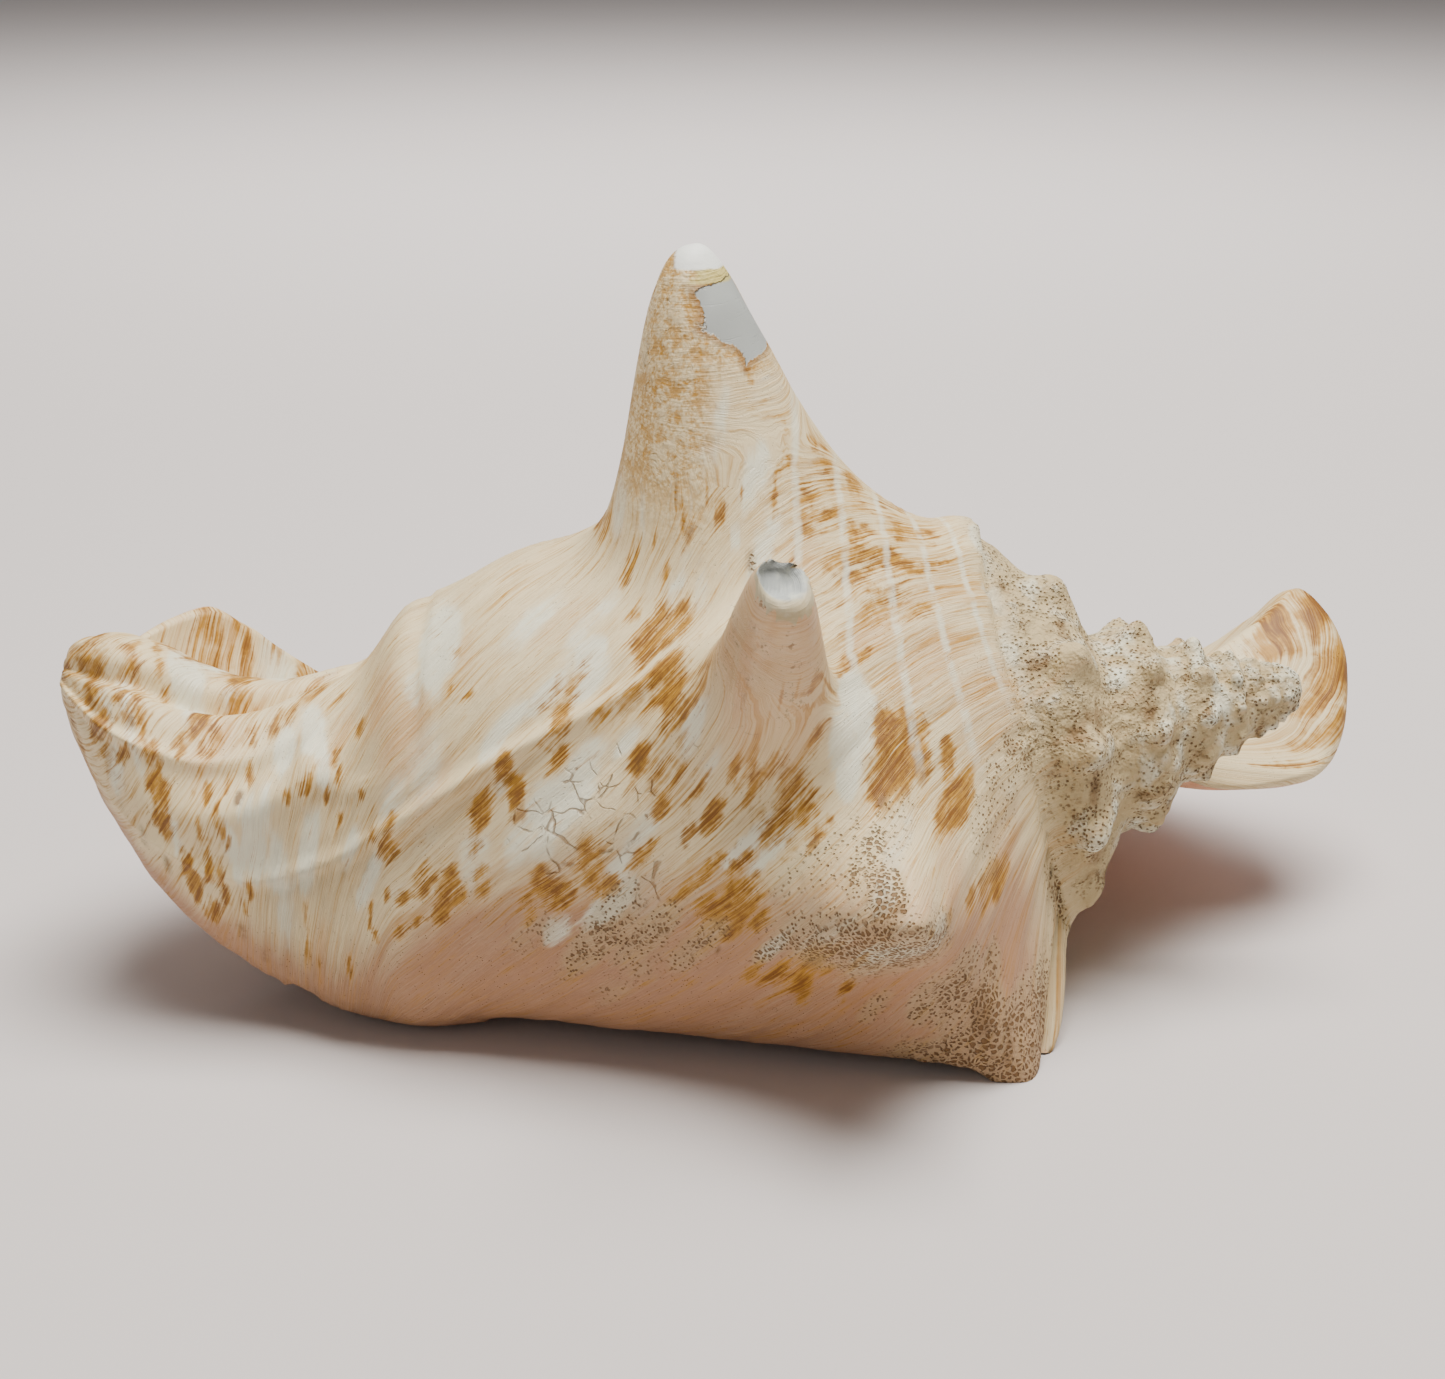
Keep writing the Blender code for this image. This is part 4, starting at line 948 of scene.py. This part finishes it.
def depth_within(edge, x, z):
    """Distance in mm inside a closed outline, negative outside: nearest of its sides, sign by crossings."""
    corners = np.array(edge, float)
    best = np.full(x.shape, 1e9)
    inside = np.zeros(x.shape, bool)
    for first, second in zip(corners, np.roll(corners, -1, axis=0)):
        way = second - first
        t = np.clip(((x - first[0]) * way[0] + (z - first[1]) * way[1]) / (way @ way), 0, 1)
        best = np.minimum(best, np.hypot(x - first[0] - t * way[0], z - first[1] - t * way[1]))
        crosses = (first[1] > z) != (second[1] > z)
        rise = np.where(crosses, (z - first[1]) / (way[1] if abs(way[1]) > 1e-9 else 1e-9), 0)
        inside ^= crosses & (x < first[0] + rise * way[0])
    return np.where(inside, best, -best)


def worn_cut(points):
    """Height over the plane that wears off the near spine's end, and distance from that plane's middle."""
    facing = unit(np.array(CUT_FACING))
    middle = np.array(SPINES[2][7]) - facing * CUT_BACK + np.array([1.0, 0, 0.6])
    offset = points - middle
    above = offset @ facing
    return above, np.linalg.norm(offset - above[..., None] * facing, axis=-1)


def flow_places(skin):
    """Growth and spiral places for the fine lines: on a spine the growth lines ring it, so the place across
    them turns into the height along the spine, and the place across the bands into the distance sideways."""
    x = np.repeat(skin.x[:, None], skin.points.shape[1], axis=1)
    growth, spiral = growth_places(x, skin.angle)
    for index in LINE_SPINES:
        spine = SPINES[index]
        base = ring_point(np.array([[spine[1]]]), np.array([[spine[2]]]))[0, 0]
        own_growth, own_spiral = growth_places(np.float64(spine[1]), np.float64(spine[2]))
        way = unit(np.array(spine[7]) - base)
        share = ease(0.06, 0.6, spine_share(x, skin.angle, spine)) * (skin.points[..., 2] > 60)
        offset = skin.points - base
        growth = growth * (1 - share) + share * (own_growth - offset @ way)
        spiral = spiral * (1 - share) + share * (own_spiral + offset[..., 0])
    return growth, spiral


def zones(skin):
    """Shares from 0 to 1 that say which finish each point of the skin has; the pink share, the low share and
    the near spine's underside carry painted shade.
    """
    columns = sum(skin.counts)
    x = np.repeat(skin.x[:, None], columns, axis=1)
    angle = skin.angle
    points = skin.points
    outside = np.zeros(x.shape)
    outside[:, skin.outer] = 1
    outside[:, skin.ring] = 1
    inner = np.zeros(x.shape)
    inner[:, skin.inner] = skin.lip
    inner[:, skin.wall] = skin.opened
    inner[:, skin.core] = skin.opened * ease(0.0, 0.25, np.linspace(0, 1, skin.counts[2])[None, :])
    on_lip = np.zeros(x.shape)
    on_lip[:, skin.outer] = skin.lip
    edge = 47.0 - 0.12 * (angle + 20)
    worn = ease(-3, 6, x - edge) * (1 - inner) * (1 - on_lip * ease(38, 52, x))
    pad = np.exp(-((angle - CALLUS_ANGLE) / (CALLUS_WIDTH * 0.62)) ** 4) * ease(84.5, 82, x) * ease(50, 62, x)
    worn = worn * (1 - pad * (1 - on_lip))
    chip = np.clip(depth_within(CHIP_EDGE, points[..., 0], points[..., 2]), -4, 4)
    chip = np.where((points[..., 1] < -5.0) & (points[..., 2] > 100), chip, -4)
    above, beside = worn_cut(points)
    near_tip = np.where(spine_share(x, angle, SPINES[2]) > 0.3, beside / CRATER_RADIUS, 9)
    near_tip = np.where(above > -1.0, near_tip, 9)
    # Painted shade on the near spine's underside, which faces down, away from the overhead lamp.
    flank = spot(x, angle, 5.0, -62.0, 9.5, 10.0, 4.0) * outside
    side_tip = ease(0.12, 0.75, spine_share(x, angle, SPINES[3])) * ease(9.0, -6.0, angle + 100) * outside
    corner_tip = ease(0.08, 0.6, spine_share(x, angle, SPINES[4])) * outside
    tips = np.maximum(side_tip, corner_tip)
    photo = PhotoPlaces(Skin([READ_SPINES.get(spine[0], spine) for spine in SPINES]))
    tan = photo.marks(TAN_MARKS) + photo.blotches(TAN_BLOTCHES) + CANAL_BLOTCHES
    tan = tan + strewn(150, 7, (1.0, 3.6), (1.0, 4.0), (0.7, 1.2))
    chalk = photo.marks(CHALK_MARKS) + strewn(60, 8, (2.0, 5.0), (1.5, 6.0), (0.7, 1.2))
    pink = photo.marks(PINK_AND_SHADE_MARKS) + strewn(30, 9, (3.0, 8.0), (3.0, 8.0), (0.5, 1.0))
    low_edge = ease(-75, -25, x)
    return {
        "inside": inner,
        "worn": worn,
        "callus": pad * (1 - on_lip),
        "tan": patches(tan, x, angle) * outside,
        "chalk": np.maximum(patches(chalk, x, angle), 0.75 * side_tip) * outside,
        # pink: the shell's pink tint plus painted shade
        "pink": patches(pink, x, angle) * outside,
        "pits": np.maximum(patches(photo.marks(PIT_MARKS), x, angle), 1.7 * tips) * outside,
        "grooves": patches(photo.marks(GROOVE_MARKS), x, angle) * outside,
        "dark": patches(photo.marks(DARK_MARKS), x, angle) * outside,
        "bands": ease(8, 13, x) * ease(52, 44, x) * ease(-78, -62, angle) * ease(40, 25, angle) * outside,
        "chip": chip,
        "crater": np.clip(near_tip, 0, 3),
        "flank": flank,
        # low: the near side's lower part, partly its own unbleached pink and partly painted shade of the side
        # that faces down.
        "low": ease(-100 + 26 * low_edge, -138 + 16 * low_edge, angle) * outside * ease(58, 48, x),
    }


def relief(skin, shares, sizes):
    """Height above the smooth skin, in mm: growth folds, a ledge and short ridges on the canal side, lumps of
    wear on the spire and small swellings where the pores are."""
    x = np.repeat(skin.x[:, None], skin.points.shape[1], axis=1)
    angle = skin.angle
    growth, spiral = growth_places(x, angle)
    low = skin.points[..., 2]
    place = np.stack([growth / 4.0, spiral / 22.0, 0 * growth], -1)
    folds = sizes.fold_height / MM * layered_noise(place, 1.0, 3, 5.0)
    outside = 1 - shares["inside"]
    smooth = outside * (1 - shares["worn"]) * (1 - shares["callus"]) * ease(-1, 6, low)
    lumps = layered_noise(skin.points, 5.0, 4, 11.0) * sizes.erosion / MM * 0.9
    coarse = np.abs(rough_noise(skin.points, 3.4, 31.0)) * sizes.erosion / MM * 1.5 * ease(56, 90, x)
    wavy = 0.8 * rough_noise(skin.points, 6.0, 3.0)
    ledge = 0.9 * ease(-52.6, -50.6, x + 0.02 * angle + wavy) * ease(-22, -46, x) * ease(-66, -40, angle)
    ledge = ledge * ease(34, 12, angle) * outside
    ridges = 1.3 * spot(x, angle, -71.0, -46.0, 2.0, 11.0) + 1.0 * spot(x, angle, -66.5, -57.0, 3.2, 5.0)
    ridges = (ridges + 0.8 * spot(x, angle, -62.0, -62.0, 3.0, 4.0)) * outside
    crumbs = 0.32 * layered_noise(skin.points, 2.0, 2, 23.0) * np.clip(shares["pits"], 0, 1.3)
    bare = spot(x, angle, 2.6, -3.0, 14.0, 20.0)
    folds = folds * (1 - 0.6 * bare)
    hold = ease(0.2, 3.0, low)
    return (folds * smooth + ledge + ridges + crumbs + (lumps + coarse) * shares["worn"]) * hold


def hollow_tip(skin, points, sizes):
    """Near spine's end worn off along an oblique plane and hollowed: deepest in the middle, uneven rim."""
    x = np.repeat(skin.x[:, None], skin.points.shape[1], axis=1)
    share = ease(0.3, 0.5, spine_share(x, skin.angle, SPINES[2]))
    above, beside = worn_cut(points)
    facing = unit(np.array(CUT_FACING))
    uneven = rough_noise(skin.points, 2.2, 41.0)
    over = np.maximum(above, 0) * share
    away = beside / CRATER_RADIUS + 0.10 * uneven
    depth = sizes.crater_depth / MM * (1 - ease(0.30, 0.92, away)) * ease(-1.0, 0.6, above) * share
    rim = 0.5 * uneven * np.exp(-((away - 1.05) / 0.22) ** 2) * ease(-1.0, 0.6, above) * share
    return points - (over * 0.96 + depth - rim)[..., None] * facing


def shell_skin(sizes):
    """Points of the finished skin in metres, its faces and the values that its finish reads."""
    skin = Skin()
    shares = zones(skin)
    normals = skin_normals(skin.points)
    height = relief(skin, shares, sizes)
    shares["raised"] = height * shares["worn"]
    end = np.minimum(np.arange(len(skin.x)), np.arange(len(skin.x))[::-1])
    height = height * ease(0, 4, end)[:, None]
    points = hollow_tip(skin, skin.points + normals * height[..., None], sizes)
    points[..., 2] = np.maximum(points[..., 2], 0)
    rows, columns = points.shape[:2]
    apex = points[0].mean(axis=0) + np.array([0.5, 0, 0.1])
    tip = points[-1].mean(axis=0) + np.array([-0.2, 0, 0])
    vertices = np.concatenate([points.reshape(-1, 3), [apex], [tip]])
    vertices = (vertices - np.array([*PLAN_SHIFT, 0])) * MM
    quads, fans = skin_faces(rows, columns)
    x = np.repeat(skin.x[:, None], columns, axis=1)
    growth, spiral = flow_places(skin)
    band = x + BAND_TWIST * (x - BAND_START) * (skin.angle + 30)
    flow = np.stack([growth, spiral, band], -1)
    flow = np.concatenate([flow.reshape(-1, 3), [flow[0, 0]], [flow[-1, 0]]])
    values = {}
    for name, share in shares.items():
        flat = share.reshape(-1)
        values[name] = np.concatenate([flat, [flat[0]], [flat[-1]]])
    return held_in_box(vertices), quads, fans, flow, values


def held_in_box(vertices):
    """Vertices scaled down, by under one per cent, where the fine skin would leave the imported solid's box."""
    low = np.array(CAD_BOX[0])
    high = np.array(CAD_BOX[1])
    own_low = vertices.min(axis=0)
    own_high = vertices.max(axis=0)
    scale = np.minimum(1, (high - low) / (own_high - own_low))
    moved = (vertices - own_low) * scale + own_low
    shift = np.maximum(low - moved.min(axis=0), 0) + np.minimum(high - moved.max(axis=0), 0)
    return moved + shift


def shell_mesh(name, sizes):
    """Mesh object of the whole shell."""
    vertices, quads, fans, flow, values = shell_skin(sizes)
    mesh = bpy.data.meshes.new(name)
    mesh.vertices.add(len(vertices))
    mesh.vertices.foreach_set("co", vertices.astype(np.float32).ravel())
    corners = np.concatenate([quads.ravel(), fans.ravel()])
    lengths = np.concatenate([np.full(len(quads), 4), np.full(len(fans), 3)])
    starts = np.concatenate([[0], np.cumsum(lengths)[:-1]])
    mesh.loops.add(len(corners))
    mesh.loops.foreach_set("vertex_index", corners.astype(np.int32))
    mesh.polygons.add(len(lengths))
    mesh.polygons.foreach_set("loop_start", starts.astype(np.int32))
    mesh.polygons.foreach_set("use_smooth", np.ones(len(lengths), bool))
    mesh.update(calc_edges=True)
    mesh.validate()
    layer = mesh.attributes.new("flow", "FLOAT_VECTOR", "POINT")
    layer.data.foreach_set("vector", flow.astype(np.float32).ravel())
    for key, value in values.items():
        layer = mesh.attributes.new(key, "FLOAT", "POINT")
        layer.data.foreach_set("value", value.astype(np.float32))
    piece = bpy.data.objects.new(name, mesh)
    bpy.context.scene.collection.objects.link(piece)
    return piece


class ShellFinish:
    """Chalky shell in layers: cream ground, growth lines, tan markings, white bands, pores, grooves, worn
    spire, the flaked crown spine, the hollow tip and the glossy inside."""

    SHARES = ("inside", "worn", "callus", "tan", "chalk", "pink", "pits", "grooves", "dark", "bands", "chip",
              "crater", "flank", "low", "raised")

    def __init__(self, colours, sizes):
        self.b = Bench("shell_skin")
        self.colours = colours
        self.sizes = sizes
        self.place = self.b.make("ShaderNodeTexCoord", {}, out=3)
        self.flow = self.b.attribute("flow", out="Vector")
        for name in self.SHARES:
            setattr(self, name, self.b.attribute(name))
        self.textures()
        outer = self.body()
        outer = self.damage(outer)
        outer = self.spire(outer)
        outer = self.crown(outer)
        outer = self.near_spine(outer)
        self.join(outer)

    def textures(self):
        """Noises along the growth lines and in space; flow lengths are millimetres, place lengths metres."""
        b = self.b
        warp = b.noise(self.place, 55.0, 2.0, out=1)
        warp = b.make("ShaderNodeVectorMath", {"operation": "SUBTRACT"}, warp, (0.5, 0.5, 0.5))
        flow = b.moved(self.flow, warp, 3.0)
        self.lines = b.noise(b.scaled(flow, (1.0, 0.04, 0.0)), 2.3, 3.0, 0.7)
        self.broad = b.noise(b.scaled(flow, (0.16, 0.05, 0.0)), 1.0, 2.0, 0.5)
        self.streaks = b.noise(b.scaled(flow, (0.75, 0.085, 0.0), (7, 3, 0)), 1.0, 3.0, 0.7)
        self.dashes = b.noise(b.scaled(flow, (0.38, 0.26, 0.0), (3, 9, 0)), 1.0, 3.0, 0.6)
        self.lumps = b.noise(self.place, 260.0, 3.0, 0.65)
        self.fine = b.noise(self.place, 1500.0, 2.0, 0.6)
        self.spots = b.noise(self.place, 85.0, 3.0, 0.6)
        self.band_x = b.make("ShaderNodeSeparateXYZ", {}, self.flow, out=2)
        self.x = b.make("ShaderNodeSeparateXYZ", {}, self.place, out=0) / MM
        self.z = b.make("ShaderNodeSeparateXYZ", {}, self.place, out=2) / MM

    def body(self):
        """Cream and peach ground with painted shade in its peach and blush parts, chalky patches, tan streaks
        and patches, and thin white spiral bands.
        """
        b = self.b
        colours = self.colours
        # Peach where the pink and low shares are: the shell's own pink tint plus painted shade.
        peach_and_shade = self.pink * 0.45 + self.low * 0.5 + self.broad * 0.6 + (self.lines - 0.5) * 1.2 - 0.12
        ground = b.mix(peach_and_shade.step(0.10, 1.0), colours.cream, colours.peach_and_shade)
        # Painted shade on the low side, in blush over its own pink.
        low = (self.low * 1.15 + (self.broad - 0.5) * 0.8 + (self.spots - 0.5) * 0.5).step(0.10, 0.95)
        ground = b.mix(low * (0.55 + self.lines * 0.55), ground, colours.blush_and_shade)
        faint = (self.streaks - 0.5) * 1.5 + (self.lines - 0.5) * 2.3 + (self.broad - 0.5) * 0.9
        faint = faint + self.bands * 0.10 + self.low * 0.05 - self.chalk * 0.05
        ground = b.mix(faint.step(-0.12, 0.62) * (0.80 - self.low * 0.55), ground, colours.tan)
        white = self.chalk * 0.85 + 0.06 + (self.spots - 0.5) * 1.3 + (self.streaks - 0.5) * 1.3
        white = white - self.pink * 0.15 - self.low * 0.25 + (self.lines - 0.5) * 0.8
        self.white = white.step(0.15, 0.75)
        ground = b.mix(self.white * (0.58 + self.streaks * 0.40), ground, colours.chalk)
        amount = self.tan * 0.80 + (self.streaks - 0.5) * 1.3 + (self.dashes - 0.5) * 1.2
        self.marks = (amount + (self.lines - 0.5) * 2.0 + (self.lumps - 0.5) * 1.0).step(0.12, 0.82)
        depth = self.tan * 0.6 + (self.dashes - 0.5) * 1.5 + (self.lines - 0.5) * 3.5
        depth = depth + (self.lumps - 0.5) * 1.4
        marking = b.mix(depth.step(0.34, 1.10), colours.tan, colours.ochre)
        outer = b.mix(self.marks * 0.96, ground, marking)
        turn = ((self.band_x - BAND_START) / BAND_SPACING + 0.5).part()
        wander = (self.streaks - 0.5) * 0.16 + (self.spots - 0.5) * 0.14
        thin = 1 - ((turn - 0.5 + wander).size() + (self.lines - 0.5) * 0.08).step(0.03, 0.13)
        return b.mix(thin * self.bands * self.dashes.step(0.30, 0.60) * 0.62, outer, colours.chalk)

    def damage(self, outer):
        """Pores, branching grooves and grime."""
        b = self.b
        colours = self.colours
        self.cell = b.cells(self.place, 1250.0)
        wide = b.cells(self.place, 950.0, "DISTANCE_TO_EDGE")
        crowd = (self.pits * 0.9 + (self.spots - 0.5) * 0.9 + (self.lumps - 0.5) * 0.5).step(0.22, 0.75)
        small = 1 - self.cell.step(0.14 + self.spots * 0.08, 0.28 + self.spots * 0.10)
        crowded = (self.pits + (self.lumps - 0.5) * 1.6).step(0.78, 1.15)
        deep = wide.step(0.10 + self.spots * 0.06, 0.22 + self.spots * 0.06) * crowded
        rare = (1 - self.cell.step(0.07, 0.15)) * (self.spots + self.low * 0.3).step(0.46, 0.66)
        self.pores = ((small * crowd).at_least(deep)).at_least(rare * 0.6)
        dusty = b.mix(crowd * 0.4, outer, colours.spire)
        outer = b.mix(self.pores * 0.85, dusty, colours.grime)
        warp = b.moved(self.place, b.noise(self.place, 180.0, 1.0, out=1), 0.006)
        edges = b.cells(warp, 210.0, "DISTANCE_TO_EDGE")
        broken = ((self.lumps - 0.5) * 2.2 + (self.spots - 0.5) * 1.4 + self.grooves * 0.22).step(0.05, 0.35)
        here = (self.grooves * 0.9 + (self.spots - 0.5) * 0.8).step(0.30, 0.60)
        self.cracks = (1 - edges.step(0.010, 0.050)) * here * broken
        outer = b.mix(here * 0.10, outer, colours.chalk)
        outer = b.mix(self.cracks * 0.6, outer, colours.ochre)
        dirt = self.dark * (self.lumps * 0.9 + self.fine * 0.5).step(0.45, 0.85)
        return b.mix(dirt.held() * 0.85, outer, colours.grime)

    def spire(self, outer):
        """Grey-beige worn whorls, chalky on what stands proud and grimy in what lies low."""
        b = self.b
        colours = self.colours
        tone = (self.lumps - 0.5) * 1.8 + self.raised * 0.8 + (self.spots - 0.5) * 1.8 + 0.12
        bare = b.mix(tone.step(0.1, 1.05) * 0.85, colours.spire, colours.chalk)
        warm = ((self.lines - 0.5) * 1.6 + (self.broad - 0.5) * 1.8).step(0.0, 0.7)
        bare = b.mix(warm * 0.35, bare, colours.peach_and_shade)
        end = self.x.step(72.0, 98.0)
        low = (0.16 + end * 0.22 - self.raised * 1.1 + (self.lumps - 0.5) * 1.6).step(0.20, 0.95)
        bare = b.mix(low * 0.75, bare, colours.grime)
        holes = (1 - self.cell.step(0.16, 0.40)) * (self.spots + (self.lumps - 0.5) * 0.8).step(0.32, 0.58)
        specks = (self.fine * 0.6 + self.lumps * 0.5).step(0.62, 0.72)
        self.holes = holes.at_least(specks * 0.6) * self.worn
        bare = b.mix(holes.at_least(specks * 0.7) * 0.8, bare, colours.grime)
        return b.mix((self.worn * 1.15 + (self.spots - 0.5) * 0.5 * self.worn).held(), outer, bare)

    def crown(self, outer):
        """White cap, yellow stain and the flaked patch with its torn edge on the crown spine."""
        b = self.b
        colours = self.colours
        torn = self.chip + (self.lumps - 0.5) * 1.6 + (self.fine - 0.5) * 0.5
        self.flake = torn.step(-0.10, 0.14)
        rim = torn.step(-1.6, -0.1) * (1 - self.flake)
        left = (self.x + (self.lumps - 0.5) * 5.0).step(-3.0, -9.0)
        rough = (self.z + (self.spots - 0.5) * 12.0).step(84.0, 104.0) * left
        rough = rough.at_least(self.z.step(112.0, 120.0)) * (1 - self.flake)
        scuffed = b.mix((self.lumps + (self.fine - 0.5) * 0.8).step(0.36, 0.66), colours.tan, colours.cream)
        outer = b.mix(rough * 0.75, outer, scuffed)
        self.scuffs = rough
        outer = b.mix(rim * 0.65, outer, colours.ochre)
        outer = b.mix(self.flake, outer, colours.bone)
        wave = self.z + (self.spots - 0.5) * 1.6
        side = (self.x + (self.lumps - 0.5) * 5.0).step(-9.4, -8.0)
        stain = wave.step(STAIN_HEIGHT - 0.3, STAIN_HEIGHT + 0.3) * side
        outer = b.mix(stain * 0.9, outer, colours.stain)
        side = (self.x + (self.lumps - 0.5) * 3.0).step(-12.5, -11.5)
        self.cap = wave.step(CAP_HEIGHT - 0.2, CAP_HEIGHT + 0.2) * side
        return b.mix(self.cap, outer, colours.cap)

    def near_spine(self, outer):
        """Painted shade in peach and callus on the near spine's underside, with dark specks, a chalky rim and a
        bone-white hollow at the near spine's tip.
        """
        b = self.b
        colours = self.colours
        # Painted shade: the near spine's underside tinted darker in peach and callus.
        flank = b.mix((self.lumps * 1.2).step(0.3, 0.9), colours.peach_and_shade, colours.callus)
        outer = b.mix(self.flank * 0.65, outer, flank)
        specks = (self.fine * 0.5 + self.lumps * 0.62).step(0.64, 0.72) * self.flank
        outer = b.mix(specks * 0.7, outer, colours.grime)
        away = self.crater + (self.lumps - 0.5) * 0.4
        rim = 1 - away.step(1.9, 2.3)
        outer = b.mix(rim, outer, b.mix((self.lumps - 0.35).held(), colours.spire, colours.chalk))
        hole = 1 - away.step(0.72, 0.95)
        return b.mix(hole, outer, b.mix(self.lumps.step(0.45, 0.7) * 0.5, colours.bone, colours.chalk))

    def join(self, outer):
        """Outside and inside colours, roughness and relief into the shader."""
        b = self.b
        colours = self.colours
        sizes = self.sizes
        bare = 1 - self.inside
        sheet = b.mix((self.broad * 0.9 - 0.1).held(), colours.callus, colours.cream)
        outer = b.mix(self.callus, outer, sheet)
        glaze = b.mix((self.broad * 1.2 - 0.1).held(), colours.callus, colours.inside)
        colour = b.mix(self.inside, outer, glaze)
        smooth = (self.flake + self.callus).held()
        rough = 0.55 + (self.lines - 0.5) * 0.3 + self.worn * 0.3 - self.white * 0.05 + self.pits * 0.15
        rough = rough * (1 - smooth) + smooth * 0.34
        rough = rough * bare + self.inside * 0.26
        b.feed(b.shader.inputs["Base Color"], colour)
        b.feed(b.shader.inputs["Roughness"], rough.held())
        b.shader.inputs["IOR"].default_value = 1.5
        b.shader.inputs["Specular IOR Level"].default_value = 0.4
        calm = bare * (1 - smooth) * (1 - self.cap * 0.8)
        height = (self.lines - 0.5) * (sizes.growth_height / MM * 2.0) * (1 - self.worn * 0.7) * calm
        height = height - self.pores * (sizes.pore_depth / MM) - self.cracks * (sizes.groove_depth / MM)
        height = height - self.holes * (sizes.pore_depth / MM) - self.marks * 0.08
        lumpy = 0.16 + self.worn * 1.7 + self.pits * 0.6 + self.grooves * 0.3 + self.scuffs * 0.9
        height = height + (self.lumps - 0.5) * lumpy * calm
        height = height - self.flake * (sizes.chip_depth / MM)
        bump = b.make("ShaderNodeBump", {}, Height=height, Strength=0.9, Distance=MM)
        b.feed(b.shader.inputs["Normal"], bump)


class MakeShell(bpy.types.Operator):
    """Make the shell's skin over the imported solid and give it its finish."""

    bl_idname = "conch.make_shell"
    bl_label = "Make shell"

    def execute(self, context):
        sizes = context.scene.conch_sizes
        piece = shell_mesh("shell_skin", sizes)
        finish = ShellFinish(context.scene.conch_colours, sizes)
        piece.data.materials.append(finish.b.material)
        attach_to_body(piece, "root")
        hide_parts("shell")
        return {"FINISHED"}


def area_lamp(name, place, aim, size, power, colour):
    """Square lamp that looks from its place to its aim."""
    lamp = bpy.data.lights.new(name, "AREA")
    lamp.size = size
    lamp.energy = power
    lamp.color = colour
    piece = bpy.data.objects.new(name, lamp)
    piece.location = place
    piece.rotation_euler = (Vector(aim) - Vector(place)).to_track_quat("-Z", "Y").to_euler()
    bpy.context.scene.collection.objects.link(piece)


def photo_camera():
    """Camera that took the photo, in front of the near side and above it."""
    data = bpy.data.cameras.new("camera")
    data.sensor_width = 36.0
    data.lens = data.sensor_width / 2 / math.tan(math.radians(PHOTO_FIELD / 2))
    data.clip_start = 0.01
    tilt = math.radians(PHOTO_TILT)
    back = Vector((0, -math.cos(tilt), math.sin(tilt)))
    camera = bpy.data.objects.new("camera", data)
    aim = Vector(PHOTO_AIM) - Vector((*PLAN_SHIFT, 0))
    camera.location = (aim + back * PHOTO_DISTANCE) * MM
    camera.rotation_euler = (-back).to_track_quat("-Z", "Y").to_euler()
    bpy.context.scene.collection.objects.link(camera)
    bpy.context.scene.camera = camera


def pale_floor(colour):
    """Large disc under the shell."""
    turn = np.linspace(0, 2 * math.pi, 96, endpoint=False)
    rim = np.stack([9 * np.cos(turn), 9 * np.sin(turn), 0 * turn], -1)
    mesh = bpy.data.meshes.new("floor")
    mesh.from_pydata(rim.tolist(), [], [list(range(len(rim)))])
    floor = bpy.data.objects.new("floor", mesh)
    bpy.context.scene.collection.objects.link(floor)
    b = Bench("floor_paint")
    place = b.make("ShaderNodeTexCoord", {}, out=3)
    b.feed(b.shader.inputs["Base Color"], b.mix(b.noise(place, 3.0, 2.0), colour, [c * 0.97 for c in colour]))
    b.shader.inputs["Roughness"].default_value = 0.85
    b.shader.inputs["Specular IOR Level"].default_value = 0.2
    mesh.materials.append(b.material)


class MakeStage(bpy.types.Operator):
    """Make the plain floor, the soft lamps and the camera."""

    bl_idname = "conch.make_stage"
    bl_label = "Make stage"

    def execute(self, context):
        stage = context.scene.conch_stage
        power = stage.lamp_power
        pale_floor(tuple(stage.floor_colour))
        area_lamp("overhead", (0.12, 0.0, 1.10), (0, 0, 0.04), 0.7, power, (1.0, 0.975, 0.93))
        area_lamp("front_fill", (-0.7, -1.0, 0.55), (0, 0, 0.05), 0.8, power * 0.05, (1.0, 0.96, 0.93))
        area_lamp("far_floor", (0.0, 1.25, 1.1), (0.0, 2.1, 0.0), 1.4, power * 1.3, (1.0, 0.975, 0.95))
        world = bpy.data.worlds.new("studio")
        world.use_nodes = True
        back = world.node_tree.nodes["Background"]
        back.inputs["Color"].default_value = (1.0, 0.955, 0.94, 1)
        back.inputs["Strength"].default_value = stage.room_light
        context.scene.world = world
        photo_camera()
        return {"FINISHED"}


class ConchPanel(bpy.types.Panel):
    """Sizes, colours and makers of the conch shell."""

    bl_idname = "CONCH_PT_panel"
    bl_label = "Conch shell"
    bl_space_type = "VIEW_3D"
    bl_region_type = "UI"
    bl_category = "Conch"

    def draw(self, context):
        for settings in (context.scene.conch_colours, context.scene.conch_sizes, context.scene.conch_stage):
            for name in settings.__annotations__:
                self.layout.prop(settings, name)
        for operator in (MakeShell, MakeStage):
            self.layout.operator(operator.bl_idname)


CLASSES = (ShellColours, ShellSizes, StageSettings, MakeShell, MakeStage, ConchPanel)


def register():
    """Register the classes and hang the settings on the scene."""
    for item in CLASSES:
        bpy.utils.register_class(item)
    bpy.types.Scene.conch_colours = bpy.props.PointerProperty(type=ShellColours)
    bpy.types.Scene.conch_sizes = bpy.props.PointerProperty(type=ShellSizes)
    bpy.types.Scene.conch_stage = bpy.props.PointerProperty(type=StageSettings)


def unregister():
    """Take the settings and classes away again."""
    del bpy.types.Scene.conch_colours
    del bpy.types.Scene.conch_sizes
    del bpy.types.Scene.conch_stage
    for item in reversed(CLASSES):
        bpy.utils.unregister_class(item)


def main():
    """Register the classes and make the shell and the stage."""
    register()
    bpy.ops.conch.make_shell()
    bpy.ops.conch.make_stage()


if __name__ == "__main__":
    main()
